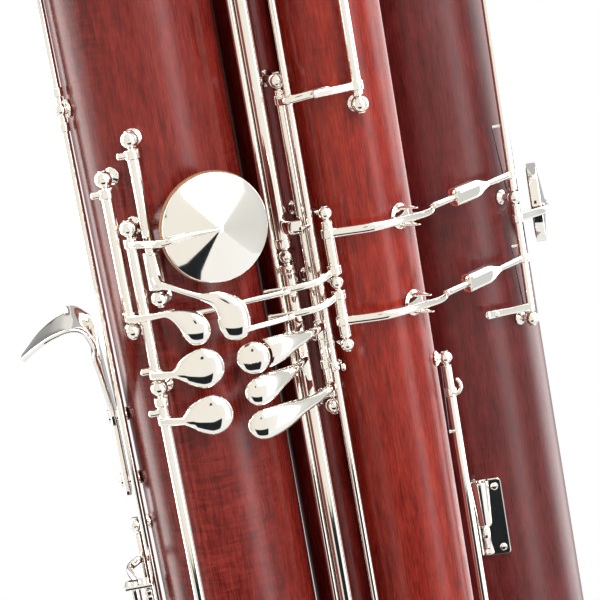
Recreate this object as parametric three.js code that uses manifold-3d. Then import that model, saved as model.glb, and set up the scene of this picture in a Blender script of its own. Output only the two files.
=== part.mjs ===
// Contrabassoon, seen from the player's side along +Y. Millimetres, +Z up.
// The origin is the tip of the end pin on the floor, below the middle of the large bottom bow.
import * as THREE from 'three';
import { mergeVertices } from 'three/addons/utils/BufferGeometryUtils.js';
import Module from 'manifold-3d';

const wasm = await Module();
wasm.setup();

// Clearances
const clear = 0.3;
const boreClear = 0.26;
const overrun = 2;

// Height of the middle of the keywork. A joint's radius holds there and a taper share is radius per height.
const keysHeight = 760;
const overKeys = (rise) => keysHeight + rise;
const tubeGap = 0.9;
const bass = { bottom: overKeys(-530), top: overKeys(470), radius: 28.8, taperShare: 0.0045, wall: 6.5 };
const wing = { bottom: overKeys(-460), top: overKeys(240), radius: 12, taperShare: -0.0015, wall: 6 };
const middle = { bottom: overKeys(-460), top: overKeys(420), radius: 18.6, taperShare: 0.003, wall: 8 };
const long = { bottom: overKeys(-530), top: overKeys(420), radius: 29.2, taperShare: -0.011, wall: 9 };

// Directions are turns in degrees from the player's side (-Y) towards +X.
const bassTurn = -74.3;
const middleTurn = 65.1;
const longTurn = 139.3;

// Hinge lines: the joint that carries the posts, the turn, and the height above the wood.
const leftLine = { tube: bass, turn: -68.7, lift: 3.3 };
const rockerLine = { tube: bass, turn: -78, lift: 5.2 };
const outerLine = { tube: bass, turn: -31.6, lift: 6 };
const cupLine = { tube: bass, turn: -21.3, lift: 6.2 };
const innerLine = { tube: bass, turn: -10.3, lift: 6.4 };
const ventLine = { tube: wing, turn: -12.3, lift: 11 };
const thickLine = { tube: wing, turn: -1.7, lift: 11.5 };
const thumbLine = { tube: wing, turn: 14.1, lift: 16.4 };
const slimLine = { tube: wing, turn: 16.5, lift: 22 };
const crossLine = { tube: wing, turn: 23.5, lift: 26.8 };
const bridgeLine = { tube: middle, turn: 11.8, lift: 5.9 };
const lowLine = { tube: middle, turn: 77.1, lift: 3.9 };
const sideLine = { tube: long, turn: 42.2, lift: 6.6 };

// Heights of the posts on each line over the middle of the keywork, from the top down
const leftPosts = [300, 86, -108].map(overKeys);
const rockerPosts = [-72.5, -108].map(overKeys);
const innerPosts = [74, 17.1].map(overKeys);
const outerPosts = [61.3, 6.2].map(overKeys);
const cupPosts = [43.1, -15.3, -200].map(overKeys);
const thickPosts = [225, 19.7, -230].map(overKeys);
const ventPosts = [225, -230].map(overKeys);
const thumbPosts = [83.3, -37.5].map(overKeys);
const slimPosts = [165, -168].map(overKeys);
const crossPosts = [34.9, 9.5, -13.7].map(overKeys);
const bridgePosts = [215, 71.3].map(overKeys);
const sidePosts = [190, 22.1, -25.2].map(overKeys);
const lowPosts = [-29.5, -185].map(overKeys);

// Posts: a foot flange, a waisted stem and a ball
const post = { foot: 3.2, footHeight: 1, waist: 1.3, ball: 3.2 };
const smallPost = { foot: 2.8, footHeight: 0.9, waist: 1.1, ball: 2.6 };
const slimHead = { foot: 3.2, footHeight: 1, waist: 1.3, ball: 2.85 };
const guidePost = { foot: 3.4, footHeight: 0.9, waist: 1, ball: 2.6 };
const ballShares = [[0.45, -0.89], [1, -0.22], [0.8, 0.62]];
const wideTube = { outer: 2.1, axle: 1.1 };
const midTube = { outer: 1.75, axle: 0.9 };
const thinTube = { outer: 1.45, axle: 0.75 };
const thickTube = { outer: 2.7, axle: 1.4 };
const slimTube = { outer: 1.3, axle: 0.65 };
const collarStep = 0.6;
const collarHeight = 3.4;
const stub = { reach: 5.6, radius: 1.35 };
const armThick = 2;
const armWidth = 3.2;

// Touches: reach sideways, drop, stand in front of the line, greatest width and thickness
const innerTouch = { reach: 24.4, drop: 33.4, front: 6.3, width: 10, thick: 4.2 };
const outerTouch = { reach: 25.6, drop: 10, front: 9, width: 11.4, thick: 4.4 };
const cupTouch = { reach: 24.4, drop: 1, front: 5.6, width: 15, thick: 4.6 };
const lowTouch = { reach: 24.4, drop: 1, front: 5.6, width: 15, thick: 4.6 };
const highThumb = { reach: 19, drop: 3.4, front: 18, width: 10.6, thick: 4.2 };
const midThumb = { reach: 21.5, drop: 3.6, front: 24, width: 10.2, thick: 4.2 };
const deepThumb = { reach: 30.5, drop: 6, front: 20, width: 12, thick: 4.4 };
const button = { reach: 13.6, front: 24.5, radius: 5.6, height: 3 };

// Pad cups: radius, height of the tone hole's seat above the wood, and how far the cup stands open
const cup = { wall: 0.8, deck: 2.4, rim: 2.3, padProud: 1.5 };
const bigCup = { radius: 19.4, coneShare: 0.27, seat: 4.4, rise: 39, turn: 29, openDegrees: 9.6 };
const lowCup = { radius: 19, coneShare: 0.27, seat: 4.4, rise: -160, turn: 27, openDegrees: 9 };
const leftCup = { radius: 19, coneShare: 0.27, seat: 4.4, rise: 260, turn: -30, openDegrees: 8 };
const thickCup = { radius: 11, coneShare: 0.24, seat: 2.2, rise: -202, turn: 47, openDegrees: 7 };
const helperCup = { radius: 11, coneShare: 0.24, seat: 2.2, rise: 165, turn: 40, openDegrees: 0 };
const ventCup = { radius: 7, coneShare: 0.2, seat: 1.2, rise: 205, turn: 46, openDegrees: 6 };
const slimCup = { radius: 6.5, coneShare: 0.2, seat: 1.6, rise: 145, turn: -28, openDegrees: 0 };
const bridgeCup = { radius: 8, coneShare: 0.2, seat: 2, rise: 185, turn: -22, openDegrees: 0 };
const highSideCup = { radius: 15.3, coneShare: 0.12, seat: 0.6, rise: 165, turn: 90, openDegrees: 7 };
const lowSideCup = { radius: 15.3, coneShare: 0.12, seat: 0.6, rise: 14, turn: 90, openDegrees: 7 };
const deepCup = { radius: 11, coneShare: 0.24, seat: 2, rise: -160, turn: -2, openDegrees: 0 };
const ventRadius = 9;
const chimneyShare = 0.84;
const holeShare = 0.52;

// Cross arms between the thumb cluster and the side keys
const bar = { drop: 2.9, reach: 26.3, overlap: 17.3, behind: 5.4, front: 9, width: 3.4, thick: 2 };
const crossArm = { lift: 6.9, width: 3.6, thick: 2.2, tipLift: 9.3 };
const crossTurns = [2, 16, 33, 59];
const forkGap = 3.2;
const forkTurn = 55;
const forkRise = 2.4;
const sleeveBlock = { width: 7.4, thick: 4.6 };
const sideArmRise = 3.4;
const overArm = { lift: 1.6, rise: 8.5, split: 15.5, reach: 28.6 };
const guide = { turn: 44, foot: 4.8, thick: 0.9, gap: 5, prong: 1.2, width: 3.4, reach: 9 };

// Bows, ferrules and yokes
const ferrule = { wall: 1.6, height: 26 };
const largeBow = { radius: 24, steps: 12, sides: 12 };
const smallBow = { radius: 6.2, steps: 7, sides: 8 };
const topBow = { radius: 11.4, steps: 8, sides: 10 };
const boreShare = 0.94;
const yoke = { height: 8, rim: 3.4 };
const lowerYokeHeight = overKeys(-340);
const upperYokeHeight = overKeys(330);

// Bell and its ring
const bell = { height: 250, waist: 30, mouth: 38, wall: 5, bead: 2.6, socket: 30 };

// Tuning slide and bocal
const receiver = { outer: 8.4, height: 130, collar: 10, collarHeight: 8, flange: 3, plug: 20, bore: 4.4 };
const slide = { outer: 7, wall: 0.8, stop: 7, collar: 8, collarHeight: 24, showing: 60 };
const slideScrew = { reach: 20, stem: 1.7, head: 6, headThick: 2.4, lug: 4.4 };
const bocal = { root: 5.6, tip: 2.6, wall: 0.7, plunge: 18, rise: 84, forward: 138, lean: 28, fall: 12 };

// End pin
const pinHolder = { outer: 9, height: 80, lug: 5 };
const endPin = { radius: 5, travel: 34, tipRadius: 9.5, tipHeight: 34, tipCore: 6.4 };
const pinScrew = { reach: 24, stem: 2.2, head: 8, headThick: 3 };

// Hand rest, strap bracket and water key
const rest = { depth: 24, thick: 2.2, rise: 15.5, reach: 27.3, standoff: 4.6, tail: 73, crown: 15.5 };
const restBoss = { radius: 2.6, head: 3.4, headThick: 1.2 };
const restScrews = [-22, -57].map(overKeys);
const plate = { width: 11.5, height: 31, thick: 1.6, drop: 114.5, turn: -6.6 };
const plateSocket = { radius: 3.1, height: 18, wall: 1 };
const plateScrew = { radius: 1.6, thick: 0.7, inset: 3.4 };
const waterKey = { reach: 26, width: 5, thick: 2, pad: 4.6, nipple: 3, nippleHeight: 3, pivot: 11, drop: 3, hub: 2.4,
  pin: 1, lug: 1.4, lugHigh: 9 };

// Segment counts
const tubeSides = 20;
const boreSides = 10;
const plateSides = 12;
const rodSides = 6;
const cupSides = 14;
const smallCupSides = 10;
const smallCupRadius = 16;
const postSides = 6;

// Layout: the joints' axes, from their radii, with the origin below the bow's middle
const toward = (turn, distance) => {
  const angle = THREE.MathUtils.degToRad(turn);
  return new THREE.Vector2(Math.sin(angle) * distance, -Math.cos(angle) * distance);
};
const radiusAt = (tube, z) => tube.radius + tube.taperShare * (z - keysHeight);
const spacing = (first, second) => {
  const low = Math.max(first.bottom, second.bottom);
  const high = Math.min(first.top, second.top);
  const sumAt = (z) => radiusAt(first, z) + radiusAt(second, z);
  return Math.max(sumAt(low), sumAt(high)) + tubeGap;
};
wing.axis = new THREE.Vector2(0, 0);
bass.axis = toward(bassTurn, spacing(wing, bass));
middle.axis = toward(middleTurn, spacing(wing, middle));
long.axis = middle.axis.clone().add(toward(longTurn, spacing(middle, long)));
const origin = bass.axis.clone().add(long.axis).multiplyScalar(1 / 2);
for (const tube of [wing, bass, middle, long]) tube.axis.sub(origin);

const lines = {
  leftLine, rockerLine, outerLine, cupLine, innerLine, ventLine, thickLine,
  thumbLine, slimLine, crossLine, bridgeLine, lowLine, sideLine,
};
for (const line of Object.values(lines)) {
  line.at = line.tube.axis.clone().add(toward(line.turn, line.tube.radius + line.lift));
}

const point = (xy, z) => new THREE.Vector3(xy.x, xy.y, z);
const besideTube = (tube, turn, lift, z) => (
  point(tube.axis.clone().add(toward(turn, radiusAt(tube, z) + lift)), z)
);

// Solids
const solid = (geometry) => {
  const bare = new THREE.BufferGeometry();
  bare.setAttribute('position', geometry.getAttribute('position').clone());
  if (geometry.index) bare.setIndex(geometry.index.clone());
  const merged = mergeVertices(bare, 1e-4);
  const position = merged.getAttribute('position');
  const index = merged.index.array;
  const corner = (i) => new THREE.Vector3().fromBufferAttribute(position, i);
  let volume = 0;
  const kept = [];
  for (let i = 0; i < index.length; i += 3) {
    const [a, b, c] = [index[i], index[i + 1], index[i + 2]];
    if (a === b || b === c || c === a) continue;
    kept.push([a, b, c]);
    volume += corner(a).dot(corner(b).cross(corner(c)));
  }
  const triangles = kept.flatMap(([a, b, c]) => (volume < 0 ? [a, c, b] : [a, b, c]));
  return new wasm.Manifold(new wasm.Mesh({
    numProp: 3,
    vertProperties: new Float32Array(position.array),
    triVerts: new Uint32Array(triangles),
  }));
};
const join = (...solids) => solids.flat().reduce((sum, piece) => sum.add(piece));
const cut = (body, ...tools) => tools.flat().reduce((rest_, tool) => rest_.subtract(tool), body);

// A turned piece: its profile of [radius, height] revolves about +Z and is then placed
const turned = (profile, sides, place = new THREE.Matrix4()) => {
  const outline = profile.map(([radius, height]) => new THREE.Vector2(radius, height));
  const geometry = new THREE.LatheGeometry(outline, sides);
  geometry.rotateX(Math.PI / 2);
  geometry.applyMatrix4(place);
  return solid(geometry);
};
const closed = (profile) => [...profile, profile[0]];
const lift = (xy, z = 0) => new THREE.Matrix4().makeTranslation(xy.x, xy.y, z);
const upright = (xy, low, high, radius, sides = rodSides) => (
  turned([[0, low], [radius, low], [radius, high], [0, high]], sides, lift(xy))
);
const ring = (xy, low, high, outer, inner, sides = rodSides) => (
  turned(closed([[inner, low], [outer, low], [outer, high], [inner, high]]), sides, lift(xy))
);
const between = (start, end, radius, sides = rodSides) => {
  const way = end.clone().sub(start);
  const geometry = new THREE.CylinderGeometry(radius, radius, way.length(), sides);
  const turnTo = new THREE.Quaternion().setFromUnitVectors(
    new THREE.Vector3(0, 1, 0), way.clone().normalize());
  geometry.applyQuaternion(turnTo);
  geometry.translate(...start.clone().add(end).multiplyScalar(1 / 2));
  return solid(geometry);
};

// A frame on a joint's wood: +Z looks outward, +Y up, and its origin is `out` above the wood
const onTube = (tube, turn, height, out) => {
  const outward = point(toward(turn, 1), 0);
  const up = new THREE.Vector3(0, 0, 1);
  const across = up.clone().cross(outward);
  const frame = new THREE.Matrix4().makeBasis(across, up, outward);
  return frame.setPosition(besideTube(tube, turn, out, height));
};
const block = (frame, width, height, depth) => {
  const geometry = new THREE.BoxGeometry(width, height, depth);
  geometry.applyMatrix4(frame);
  return solid(geometry);
};

// A limb: an oval section with changing width and thickness, carried along a smooth path
const shareAt = (shares, t) => {
  const place = t * (shares.length - 1);
  const low = Math.min(Math.floor(place), shares.length - 2);
  return THREE.MathUtils.lerp(shares[low], shares[low + 1], place - low);
};
const limb = (points, width, thick, options = {}) => {
  const { widthShares = [1, 1], thickShares = [1, 1], across = new THREE.Vector3(0, 0, 1) } = options;
  const { facing = null, steps = 4, sides = 6 } = options;
  const path = new THREE.CatmullRomCurve3(points, false, 'centripetal');
  const vertices = [];
  const push = (vector) => vertices.push(vector.x, vector.y, vector.z) / 3 - 1;
  const rings = [];
  for (let i = 0; i <= steps; i += 1) {
    const t = i / steps;
    const centre = path.getPoint(t);
    const tangent = path.getTangent(t);
    const flat = across.clone().addScaledVector(tangent, -across.dot(tangent));
    const side = (facing ? facing.clone().cross(tangent) : flat).normalize();
    const face = tangent.clone().cross(side);
    const halfWidth = width * shareAt(widthShares, t) / 2;
    const halfThick = thick * shareAt(thickShares, t) / 2;
    rings.push(Array.from({ length: sides }, (_, k) => {
      const angle = 2 * Math.PI * (k + 1 / 2) / sides;
      return push(centre.clone()
        .addScaledVector(side, Math.cos(angle) * halfWidth)
        .addScaledVector(face, Math.sin(angle) * halfThick));
    }));
  }
  const start = push(path.getPoint(0));
  const end = push(path.getPoint(1));
  const faces = [];
  for (let i = 0; i < sides; i += 1) {
    const next = (i + 1) % sides;
    for (let k = 0; k < steps; k += 1) {
      const [near, far] = [rings[k], rings[k + 1]];
      faces.push(near[i], near[next], far[next], near[i], far[next], far[i]);
    }
    faces.push(start, rings[0][next], rings[0][i], end, rings[steps][i], rings[steps][next]);
  }
  const geometry = new THREE.BufferGeometry();
  geometry.setAttribute('position', new THREE.Float32BufferAttribute(vertices, 3));
  geometry.setIndex(faces);
  return solid(geometry);
};

// A pipe along a path, made of an outer and an inner extrusion
const pipe = (path, radius, steps, sides) => {
  const section = new THREE.Shape();
  section.absarc(0, 0, radius, 0, 2 * Math.PI);
  const geometry = new THREE.ExtrudeGeometry(section, {
    steps, curveSegments: sides / 2, extrudePath: path, bevelEnabled: false,
  });
  return solid(geometry);
};

// Materials
const finish = (color, metalness, roughness) => (
  new THREE.MeshStandardMaterial({ color, metalness, roughness })
);
const woodFinish = finish(0x6a1a17, 0, 0.35);
const silverFinish = finish(0xe9e4dc, 1, 0.12);
const steelFinish = finish(0xbfc0c2, 1, 0.3);
const padFinish = finish(0xc98a4e, 0, 0.8);
const rubberFinish = finish(0x151515, 0, 0.85);

const instrument = new THREE.Group();
const place = (name, body, material) => {
  const { vertProperties, triVerts, numProp } = body.getMesh();
  const vertices = [];
  for (let i = 0; i < vertProperties.length; i += numProp) {
    vertices.push(...vertProperties.slice(i, i + 3));
  }
  const geometry = new THREE.BufferGeometry();
  geometry.setAttribute('position', new THREE.Float32BufferAttribute(vertices, 3));
  geometry.setIndex([...triVerts]);
  geometry.computeVertexNormals();
  const mesh = new THREE.Mesh(geometry, material);
  mesh.name = name;
  instrument.add(mesh);
};

// Wooden joints with their bores, tone holes and seats
const toneHoles = [
  [bass, [bigCup, lowCup, leftCup, thickCup, helperCup, ventCup]],
  [middle, [slimCup, bridgeCup]],
  [long, [highSideCup, lowSideCup, deepCup]],
];
const sidesOf = (shape) => (shape.radius < smallCupRadius ? smallCupSides : cupSides);
const woodenJoint = (tube) => {
  const { bottom, top } = tube;
  const inner = (z) => radiusAt(tube, z) - tube.wall;
  const holes = toneHoles.filter(([owner]) => owner === tube).flatMap(([, cups]) => cups);
  let body = turned([[0, bottom], [radiusAt(tube, bottom), bottom], [radiusAt(tube, top), top], [0, top]],
    tubeSides, lift(tube.axis));
  for (const hole of holes) {
    const radius = hole.radius * chimneyShare;
    const depth = hole.seat + tube.radius - Math.sqrt(tube.radius ** 2 - radius ** 2) + tube.wall / 4;
    body = join(body, turned([[0, -depth], [radius, -depth], [radius, 0], [0, 0]], plateSides,
      onTube(tube, hole.turn, overKeys(hole.rise), hole.seat)));
  }
  const bore = turned([[0, bottom - overrun], [inner(bottom), bottom - overrun], [inner(top), top + overrun],
    [0, top + overrun]], boreSides, lift(tube.axis));
  const wells = holes.map((hole) => turned([[0, -hole.seat - tube.radius], [hole.radius * holeShare,
    -hole.seat - tube.radius], [hole.radius * holeShare, overrun], [0, overrun]], postSides,
  onTube(tube, hole.turn, overKeys(hole.rise), hole.seat)));
  return cut(body, bore, wells);
};
place('bass_joint', woodenJoint(bass), woodFinish);
place('wing_joint', woodenJoint(wing), woodFinish);
place('middle_joint', woodenJoint(middle), woodFinish);
place('long_joint', woodenJoint(long), woodFinish);

// Posts stand radially on a joint's wood, and an axle runs through their balls
const onePost = (line, height, shape) => {
  const frame = onTube(line.tube, line.turn, height, 0);
  const reach = line.tube.radius + line.lift - radiusAt(line.tube, height);
  const stem = reach - shape.ball * Math.abs(ballShares[0][1]);
  const profile = [[0, clear], [shape.foot, clear], [shape.foot, clear + shape.footHeight],
    [shape.waist, clear + 2 * shape.footHeight]];
  const ball = ballShares.map(([out, up]) => [out * shape.ball, reach + up * shape.ball]);
  if (stem < clear + 2 * shape.footHeight) {
    const low = [[0, clear], [shape.foot, clear], [shape.foot, clear + shape.footHeight]];
    return turned([...low, ...ball.slice(1), [0, reach + shape.ball]], postSides, frame);
  }
  return turned([...profile, ...ball, [0, reach + shape.ball]], postSides, frame);
};
const axleSet = (line, heights, shape, tube) => {
  const posts = heights.map((height) => onePost(line, height, shape));
  return join(upright(line.at, Math.min(...heights), Math.max(...heights), tube.axle, rodSides), posts);
};

// A key's tube turns on the axle between two posts, with a collar at each end
const sleeveEnds = (high, low, shape) => [high - shape.ball - clear, low + shape.ball + clear];
const sleeve = (line, [top, bottom], tube, collars = 2) => {
  const bodies = [upright(line.at, bottom, top, tube.outer)];
  const outer = tube.outer + collarStep;
  if (collars > 0) bodies.push(upright(line.at, top - collarHeight, top, outer));
  if (collars > 1) bodies.push(upright(line.at, bottom, bottom + collarHeight, outer));
  return join(bodies);
};
const axleBore = (line, [top, bottom], tube) => (
  upright(line.at, bottom - overrun, top + overrun, tube.axle + boreClear)
);
const ahead = (line, x, y, z) => new THREE.Vector3(line.at.x + x, line.at.y + y, z);
const collar = (line, z, tube) => (
  upright(line.at, z - collarHeight / 2, z + collarHeight / 2, tube.outer + collarStep)
);
const sideStub = (line, z) => between(ahead(line, 0, 0, z), ahead(line, -stub.reach, 0, z), stub.radius);

// A thumb touch: a limb that leaves the tube and swells into a domed teardrop
const thumbShares = [0.3, 0.24, 0.3, 0.55, 0.88, 1, 0.88, 0.42];
const spoonThickShares = [0.6, 0.5, 0.5, 0.65, 0.9, 1, 0.85, 0.4];
const spoon = (line, z, shape, pathShares, spoonShares = thumbShares, sideways = 1) => limb(
  pathShares.map(([x, y, down]) => ahead(line, sideways * x * shape.reach, -y * shape.front,
    z - down * shape.drop)),
  shape.width, shape.thick,
  { widthShares: spoonShares, thickShares: spoonThickShares, facing: new THREE.Vector3(0, -1, 0), steps: 9 });

// A pad cup is built closed on its seat, then turned open about its hinge line
const cupOut = (shape) => shape.seat + clear + cup.padProud;
const cupFrame = (tube, shape) => onTube(tube, shape.turn, overKeys(shape.rise), cupOut(shape));
const openAbout = (line, degrees) => {
  const away = new THREE.Matrix4().makeTranslation(-line.at.x, -line.at.y, 0);
  const back = new THREE.Matrix4().makeTranslation(line.at.x, line.at.y, 0);
  return back.multiply(new THREE.Matrix4().makeRotationZ(THREE.MathUtils.degToRad(degrees))).multiply(away);
};
const padCup = (line, tube, shape, sideways = 1) => {
  const frame = openAbout(line, -sideways * shape.openDegrees).multiply(cupFrame(tube, shape));
  const { radius } = shape;
  const rim = cup.rim;
  const apex = rim + radius * shape.coneShare;
  const inside = radius - cup.wall;
  const hollow = [[0, cup.deck - cup.wall], [inside, cup.deck - cup.wall], [inside, 0]];
  const facing = [[0, -cup.padProud], [inside, -cup.padProud], [inside, 0]];
  const body = turned([...(radius > ventRadius ? hollow : facing), [radius, 0],
    [radius, rim], [0, apex]], sidesOf(shape), frame);
  const top = new THREE.Vector3(0, 0, apex).applyMatrix4(frame);
  return { body, frame, top };
};
const cupPad = (line, tube, shape, sideways = 1) => {
  const frame = openAbout(line, -sideways * shape.openDegrees).multiply(cupFrame(tube, shape));
  const radius = shape.radius - cup.wall - clear;
  const edge = cup.padProud / 2;
  return turned([[0, -cup.padProud], [radius - edge, -cup.padProud], [radius, -edge],
    [radius, cup.deck - cup.wall - clear], [0, cup.deck - cup.wall - clear]], sidesOf(shape), frame);
};
const cupArm = (line, z, made, shape, sideways = 1) => {
  const on = (share, out) => new THREE.Vector3(-sideways * share * shape.radius, 0, out).applyMatrix4(made.frame);
  const slope = shape.radius * shape.coneShare;
  const points = [ahead(line, 0, 0, z), on(1.06, cup.rim + armThick * 0.8), on(0.55, cup.rim + slope * 0.62), on(0, cup.rim + slope)];
  points[1].z = THREE.MathUtils.lerp(points[0].z, points[3].z, 0.3);
  return limb(points, armWidth, armThick,
    { widthShares: [1, 0.95, 0.8, 0.5], thickShares: [1, 1, 0.9, 0.9], steps: 5 });
};

// Left cluster: two link keys, the big cup's key and the low key below it
const innerEnds = sleeveEnds(innerPosts[0], innerPosts[1], post);
const outerEnds = sleeveEnds(outerPosts[0], outerPosts[1], post);
const cupEnds = sleeveEnds(cupPosts[0], cupPosts[1], post);
const lowEnds = sleeveEnds(cupPosts[1], cupPosts[2], post);
const linkOffset = smallPost.ball + clear + collarHeight / 2;
const linkHeights = [crossPosts[1] + linkOffset, crossPosts[1] - linkOffset];
const barLevels = linkHeights.map((height) => height - bar.drop);
const barEnd = (level) => ahead(crossLine, -bar.overlap, -bar.front, level);

const innerArm = [[0.02, 0.3, 0.1], [0.07, 0.7, 0.27], [0.22, 0.85, 0.34], [0.58, 0.95, 0.48],
  [0.85, 1, 0.58], [1, 1.02, 0.7], [1, 1.04, 0.87], [0.91, 1, 1]];
const innerShares = [0.35, 0.3, 0.27, 0.28, 0.5, 0.9, 1, 0.6];
const barrelStep = 1.1;
const barrelShare = 0.27;
const innerTop = innerEnds[1] + (innerEnds[0] - innerEnds[1]) * barrelShare;
const innerKey = () => {
  const touch = spoon(innerLine, innerTop - collarHeight / 2, innerTouch, innerArm, innerShares);
  const barStart = ahead(innerLine, innerTouch.reach, -innerTouch.front, barLevels[1] - clear);
  const link = limb([barStart, barEnd(barLevels[1])], bar.width, bar.thick, { steps: 1 });
  const barrel = upright(innerLine.at, innerEnds[1], innerTop, wideTube.outer + barrelStep);
  const body = join(sleeve(innerLine, innerEnds, wideTube, 1), barrel, touch, link,
    sideStub(innerLine, innerEnds[0] - collarHeight / 2));
  return cut(body, axleBore(innerLine, innerEnds, wideTube));
};
place('low_d_key', innerKey(), silverFinish);

const outerArm = [[-0.1, 0.3, 0], [0.06, 0.62, -0.02], [0.3, 0.74, -0.02], [0.58, 0.88, 0.18], [0.8, 1, 0.48],
  [0.95, 1, 0.74], [1.08, 0.96, 0.96]];
const outerShares = [0.3, 0.26, 0.26, 0.34, 0.9, 1, 0.45];
const outerKey = () => {
  const hub = outerEnds[1] + collarHeight / 2;
  const touch = spoon(outerLine, hub, outerTouch, outerArm, outerShares);
  const barStart = ahead(outerLine, outerTouch.reach * 0.72, -outerTouch.front, hub);
  const link = limb([barStart, barEnd(barLevels[0])], bar.width, bar.thick, { steps: 1 });
  const body = join(sleeve(outerLine, outerEnds, wideTube), touch, link,
    sideStub(outerLine, outerEnds[0] - collarHeight / 2));
  return cut(body, axleBore(outerLine, outerEnds, wideTube));
};
place('low_e_flat_key', outerKey(), silverFinish);

const flatArm = [[-0.05, 0.3, 0], [0.12, 0.75, 0], [0.27, 0.95, 0], [0.45, 1, -0.5], [0.68, 1, -0.5],
  [0.86, 1, 0], [1.01, 0.95, 0.6]];
const flatShares = [0.22, 0.2, 0.2, 0.68, 1, 0.88, 0.36];
const stubRises = [1.3, 3.1];
const cupKey = () => {
  const made = padCup(cupLine, bass, bigCup);
  const hub = cupEnds[1] + collarHeight / 2;
  const body = join(sleeve(cupLine, cupEnds, wideTube), made.body,
    cupArm(cupLine, cupEnds[0] - collarHeight / 2, made, bigCup),
    spoon(cupLine, hub, cupTouch, flatArm, flatShares), sideStub(cupLine, hub + stubRises[0]));
  return cut(body, axleBore(cupLine, cupEnds, wideTube));
};
place('low_c_key', cupKey(), silverFinish);
place('low_c_pad', cupPad(cupLine, bass, bigCup), padFinish);

const lowHubDrop = 8.7;
const lowKey = () => {
  const made = padCup(cupLine, bass, lowCup);
  const hub = lowEnds[0] - lowHubDrop;
  const body = join(sleeve(cupLine, lowEnds, wideTube, 1), made.body,
    cupArm(cupLine, overKeys(lowCup.rise), made, lowCup), collar(cupLine, overKeys(lowCup.rise), wideTube),
    collar(cupLine, hub, wideTube), spoon(cupLine, hub, lowTouch, flatArm, flatShares),
    sideStub(cupLine, hub + stubRises[1]));
  return cut(body, axleBore(cupLine, lowEnds, wideTube));
};
place('low_b_key', lowKey(), silverFinish);
place('low_b_pad', cupPad(cupLine, bass, lowCup), padFinish);

place('low_d_axle', axleSet(innerLine, innerPosts, post, wideTube), silverFinish);
place('low_e_flat_axle', axleSet(outerLine, outerPosts, post, wideTube), silverFinish);
place('low_c_axle', axleSet(cupLine, cupPosts, post, wideTube), silverFinish);

// Long key on the far left, its guide post, and the adjusting rocker at its foot
const leftEnds = sleeveEnds(leftPosts[0], leftPosts[2], post);
const leftKey = () => {
  const made = padCup(leftLine, bass, leftCup);
  const guide = [leftPosts[1] + guidePost.ball + clear, leftPosts[1] - guidePost.ball - clear];
  const body = join(sleeve(leftLine, leftEnds, thinTube, 0), made.body,
    cupArm(leftLine, overKeys(leftCup.rise), made, leftCup), collar(leftLine, overKeys(leftCup.rise), thinTube),
    collar(leftLine, guide[0] + collarHeight, thinTube), collar(leftLine, guide[1] - collarHeight, thinTube));
  return cut(body, axleBore(leftLine, leftEnds, thinTube));
};
place('low_b_flat_key', leftKey(), silverFinish);
place('low_b_flat_pad', cupPad(leftLine, bass, leftCup), padFinish);

const clampPlate = { width: 10.8, depth: 8, thick: 1.6, rise: -89, out: 15, turn: -52, armTurn: -72 };
const clampPin = { radius: 2, reach: 9 };
const rockerKey = () => {
  const ends = sleeveEnds(rockerPosts[0], rockerPosts[1], smallPost);
  const plateAt = besideTube(bass, clampPlate.turn, clampPlate.out, overKeys(clampPlate.rise));
  const arm = limb([ahead(rockerLine, 0, 0, overKeys(clampPlate.rise) + armWidth),
    besideTube(bass, clampPlate.armTurn, clampPlate.out - armWidth, overKeys(clampPlate.rise) + armWidth / 2), plateAt],
  armWidth, armThick);
  const frame = new THREE.Matrix4().makeTranslation(...plateAt);
  const slab = block(frame, clampPlate.width, clampPlate.depth, clampPlate.thick);
  const pin = upright(new THREE.Vector2(plateAt.x - clampPin.radius, plateAt.y),
    overKeys(clampPlate.rise) - clampPin.reach, overKeys(clampPlate.rise) + clampPlate.thick, clampPin.radius);
  const knob = upright(rockerLine.at, ends[1], ends[1] + clampPin.reach, thinTube.outer + 2 * collarStep);
  return cut(join(sleeve(rockerLine, ends, thinTube, 0), arm, slab, pin, knob),
    axleBore(rockerLine, ends, thinTube));
};
place('adjusting_rocker', rockerKey(), silverFinish);
const leftAxles = () => join(axleSet(leftLine, [leftPosts[0], leftPosts[2]], post, thinTube),
  axleSet(rockerLine, rockerPosts, smallPost, thinTube));
place('low_b_flat_axle', leftAxles(), silverFinish);
const leftGuide = () => {
  const [, height] = leftPosts;
  const hole = upright(leftLine.at, height - 2 * guidePost.ball, height + 2 * guidePost.ball,
    thinTube.outer + boreClear, boreSides);
  return cut(onePost(leftLine, height, guidePost), hole);
};
place('low_b_flat_guide_post', leftGuide(), silverFinish);

// Keys on the wing joint, between the bass and middle joints
const thickTopEnds = sleeveEnds(thickPosts[0], thickPosts[1], slimHead);
const thickLowEnds = sleeveEnds(thickPosts[1], thickPosts[2], slimHead);
const bridgeArm = { rise: 31, reach: 7.4, front: 9.3, width: 5, thick: 2.4 };
const helperKey = () => {
  const made = padCup(thickLine, bass, helperCup, -1);
  const arm = limb([ahead(thickLine, 0, 0, overKeys(bridgeArm.rise)),
    ahead(thickLine, bridgeArm.reach / 3, -bridgeArm.front * 0.8, overKeys(bridgeArm.rise)),
    ahead(thickLine, bridgeArm.reach, -bridgeArm.front, overKeys(bridgeArm.rise))], bridgeArm.width, bridgeArm.thick);
  const body = join(sleeve(thickLine, thickTopEnds, thickTube, 0), made.body, arm,
    cupArm(thickLine, overKeys(helperCup.rise), made, helperCup, -1));
  return cut(body, axleBore(thickLine, thickTopEnds, thickTube));
};
place('low_c_sharp_helper_key', helperKey(), silverFinish);
place('low_c_sharp_helper_pad', cupPad(thickLine, bass, helperCup, -1), padFinish);

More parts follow.
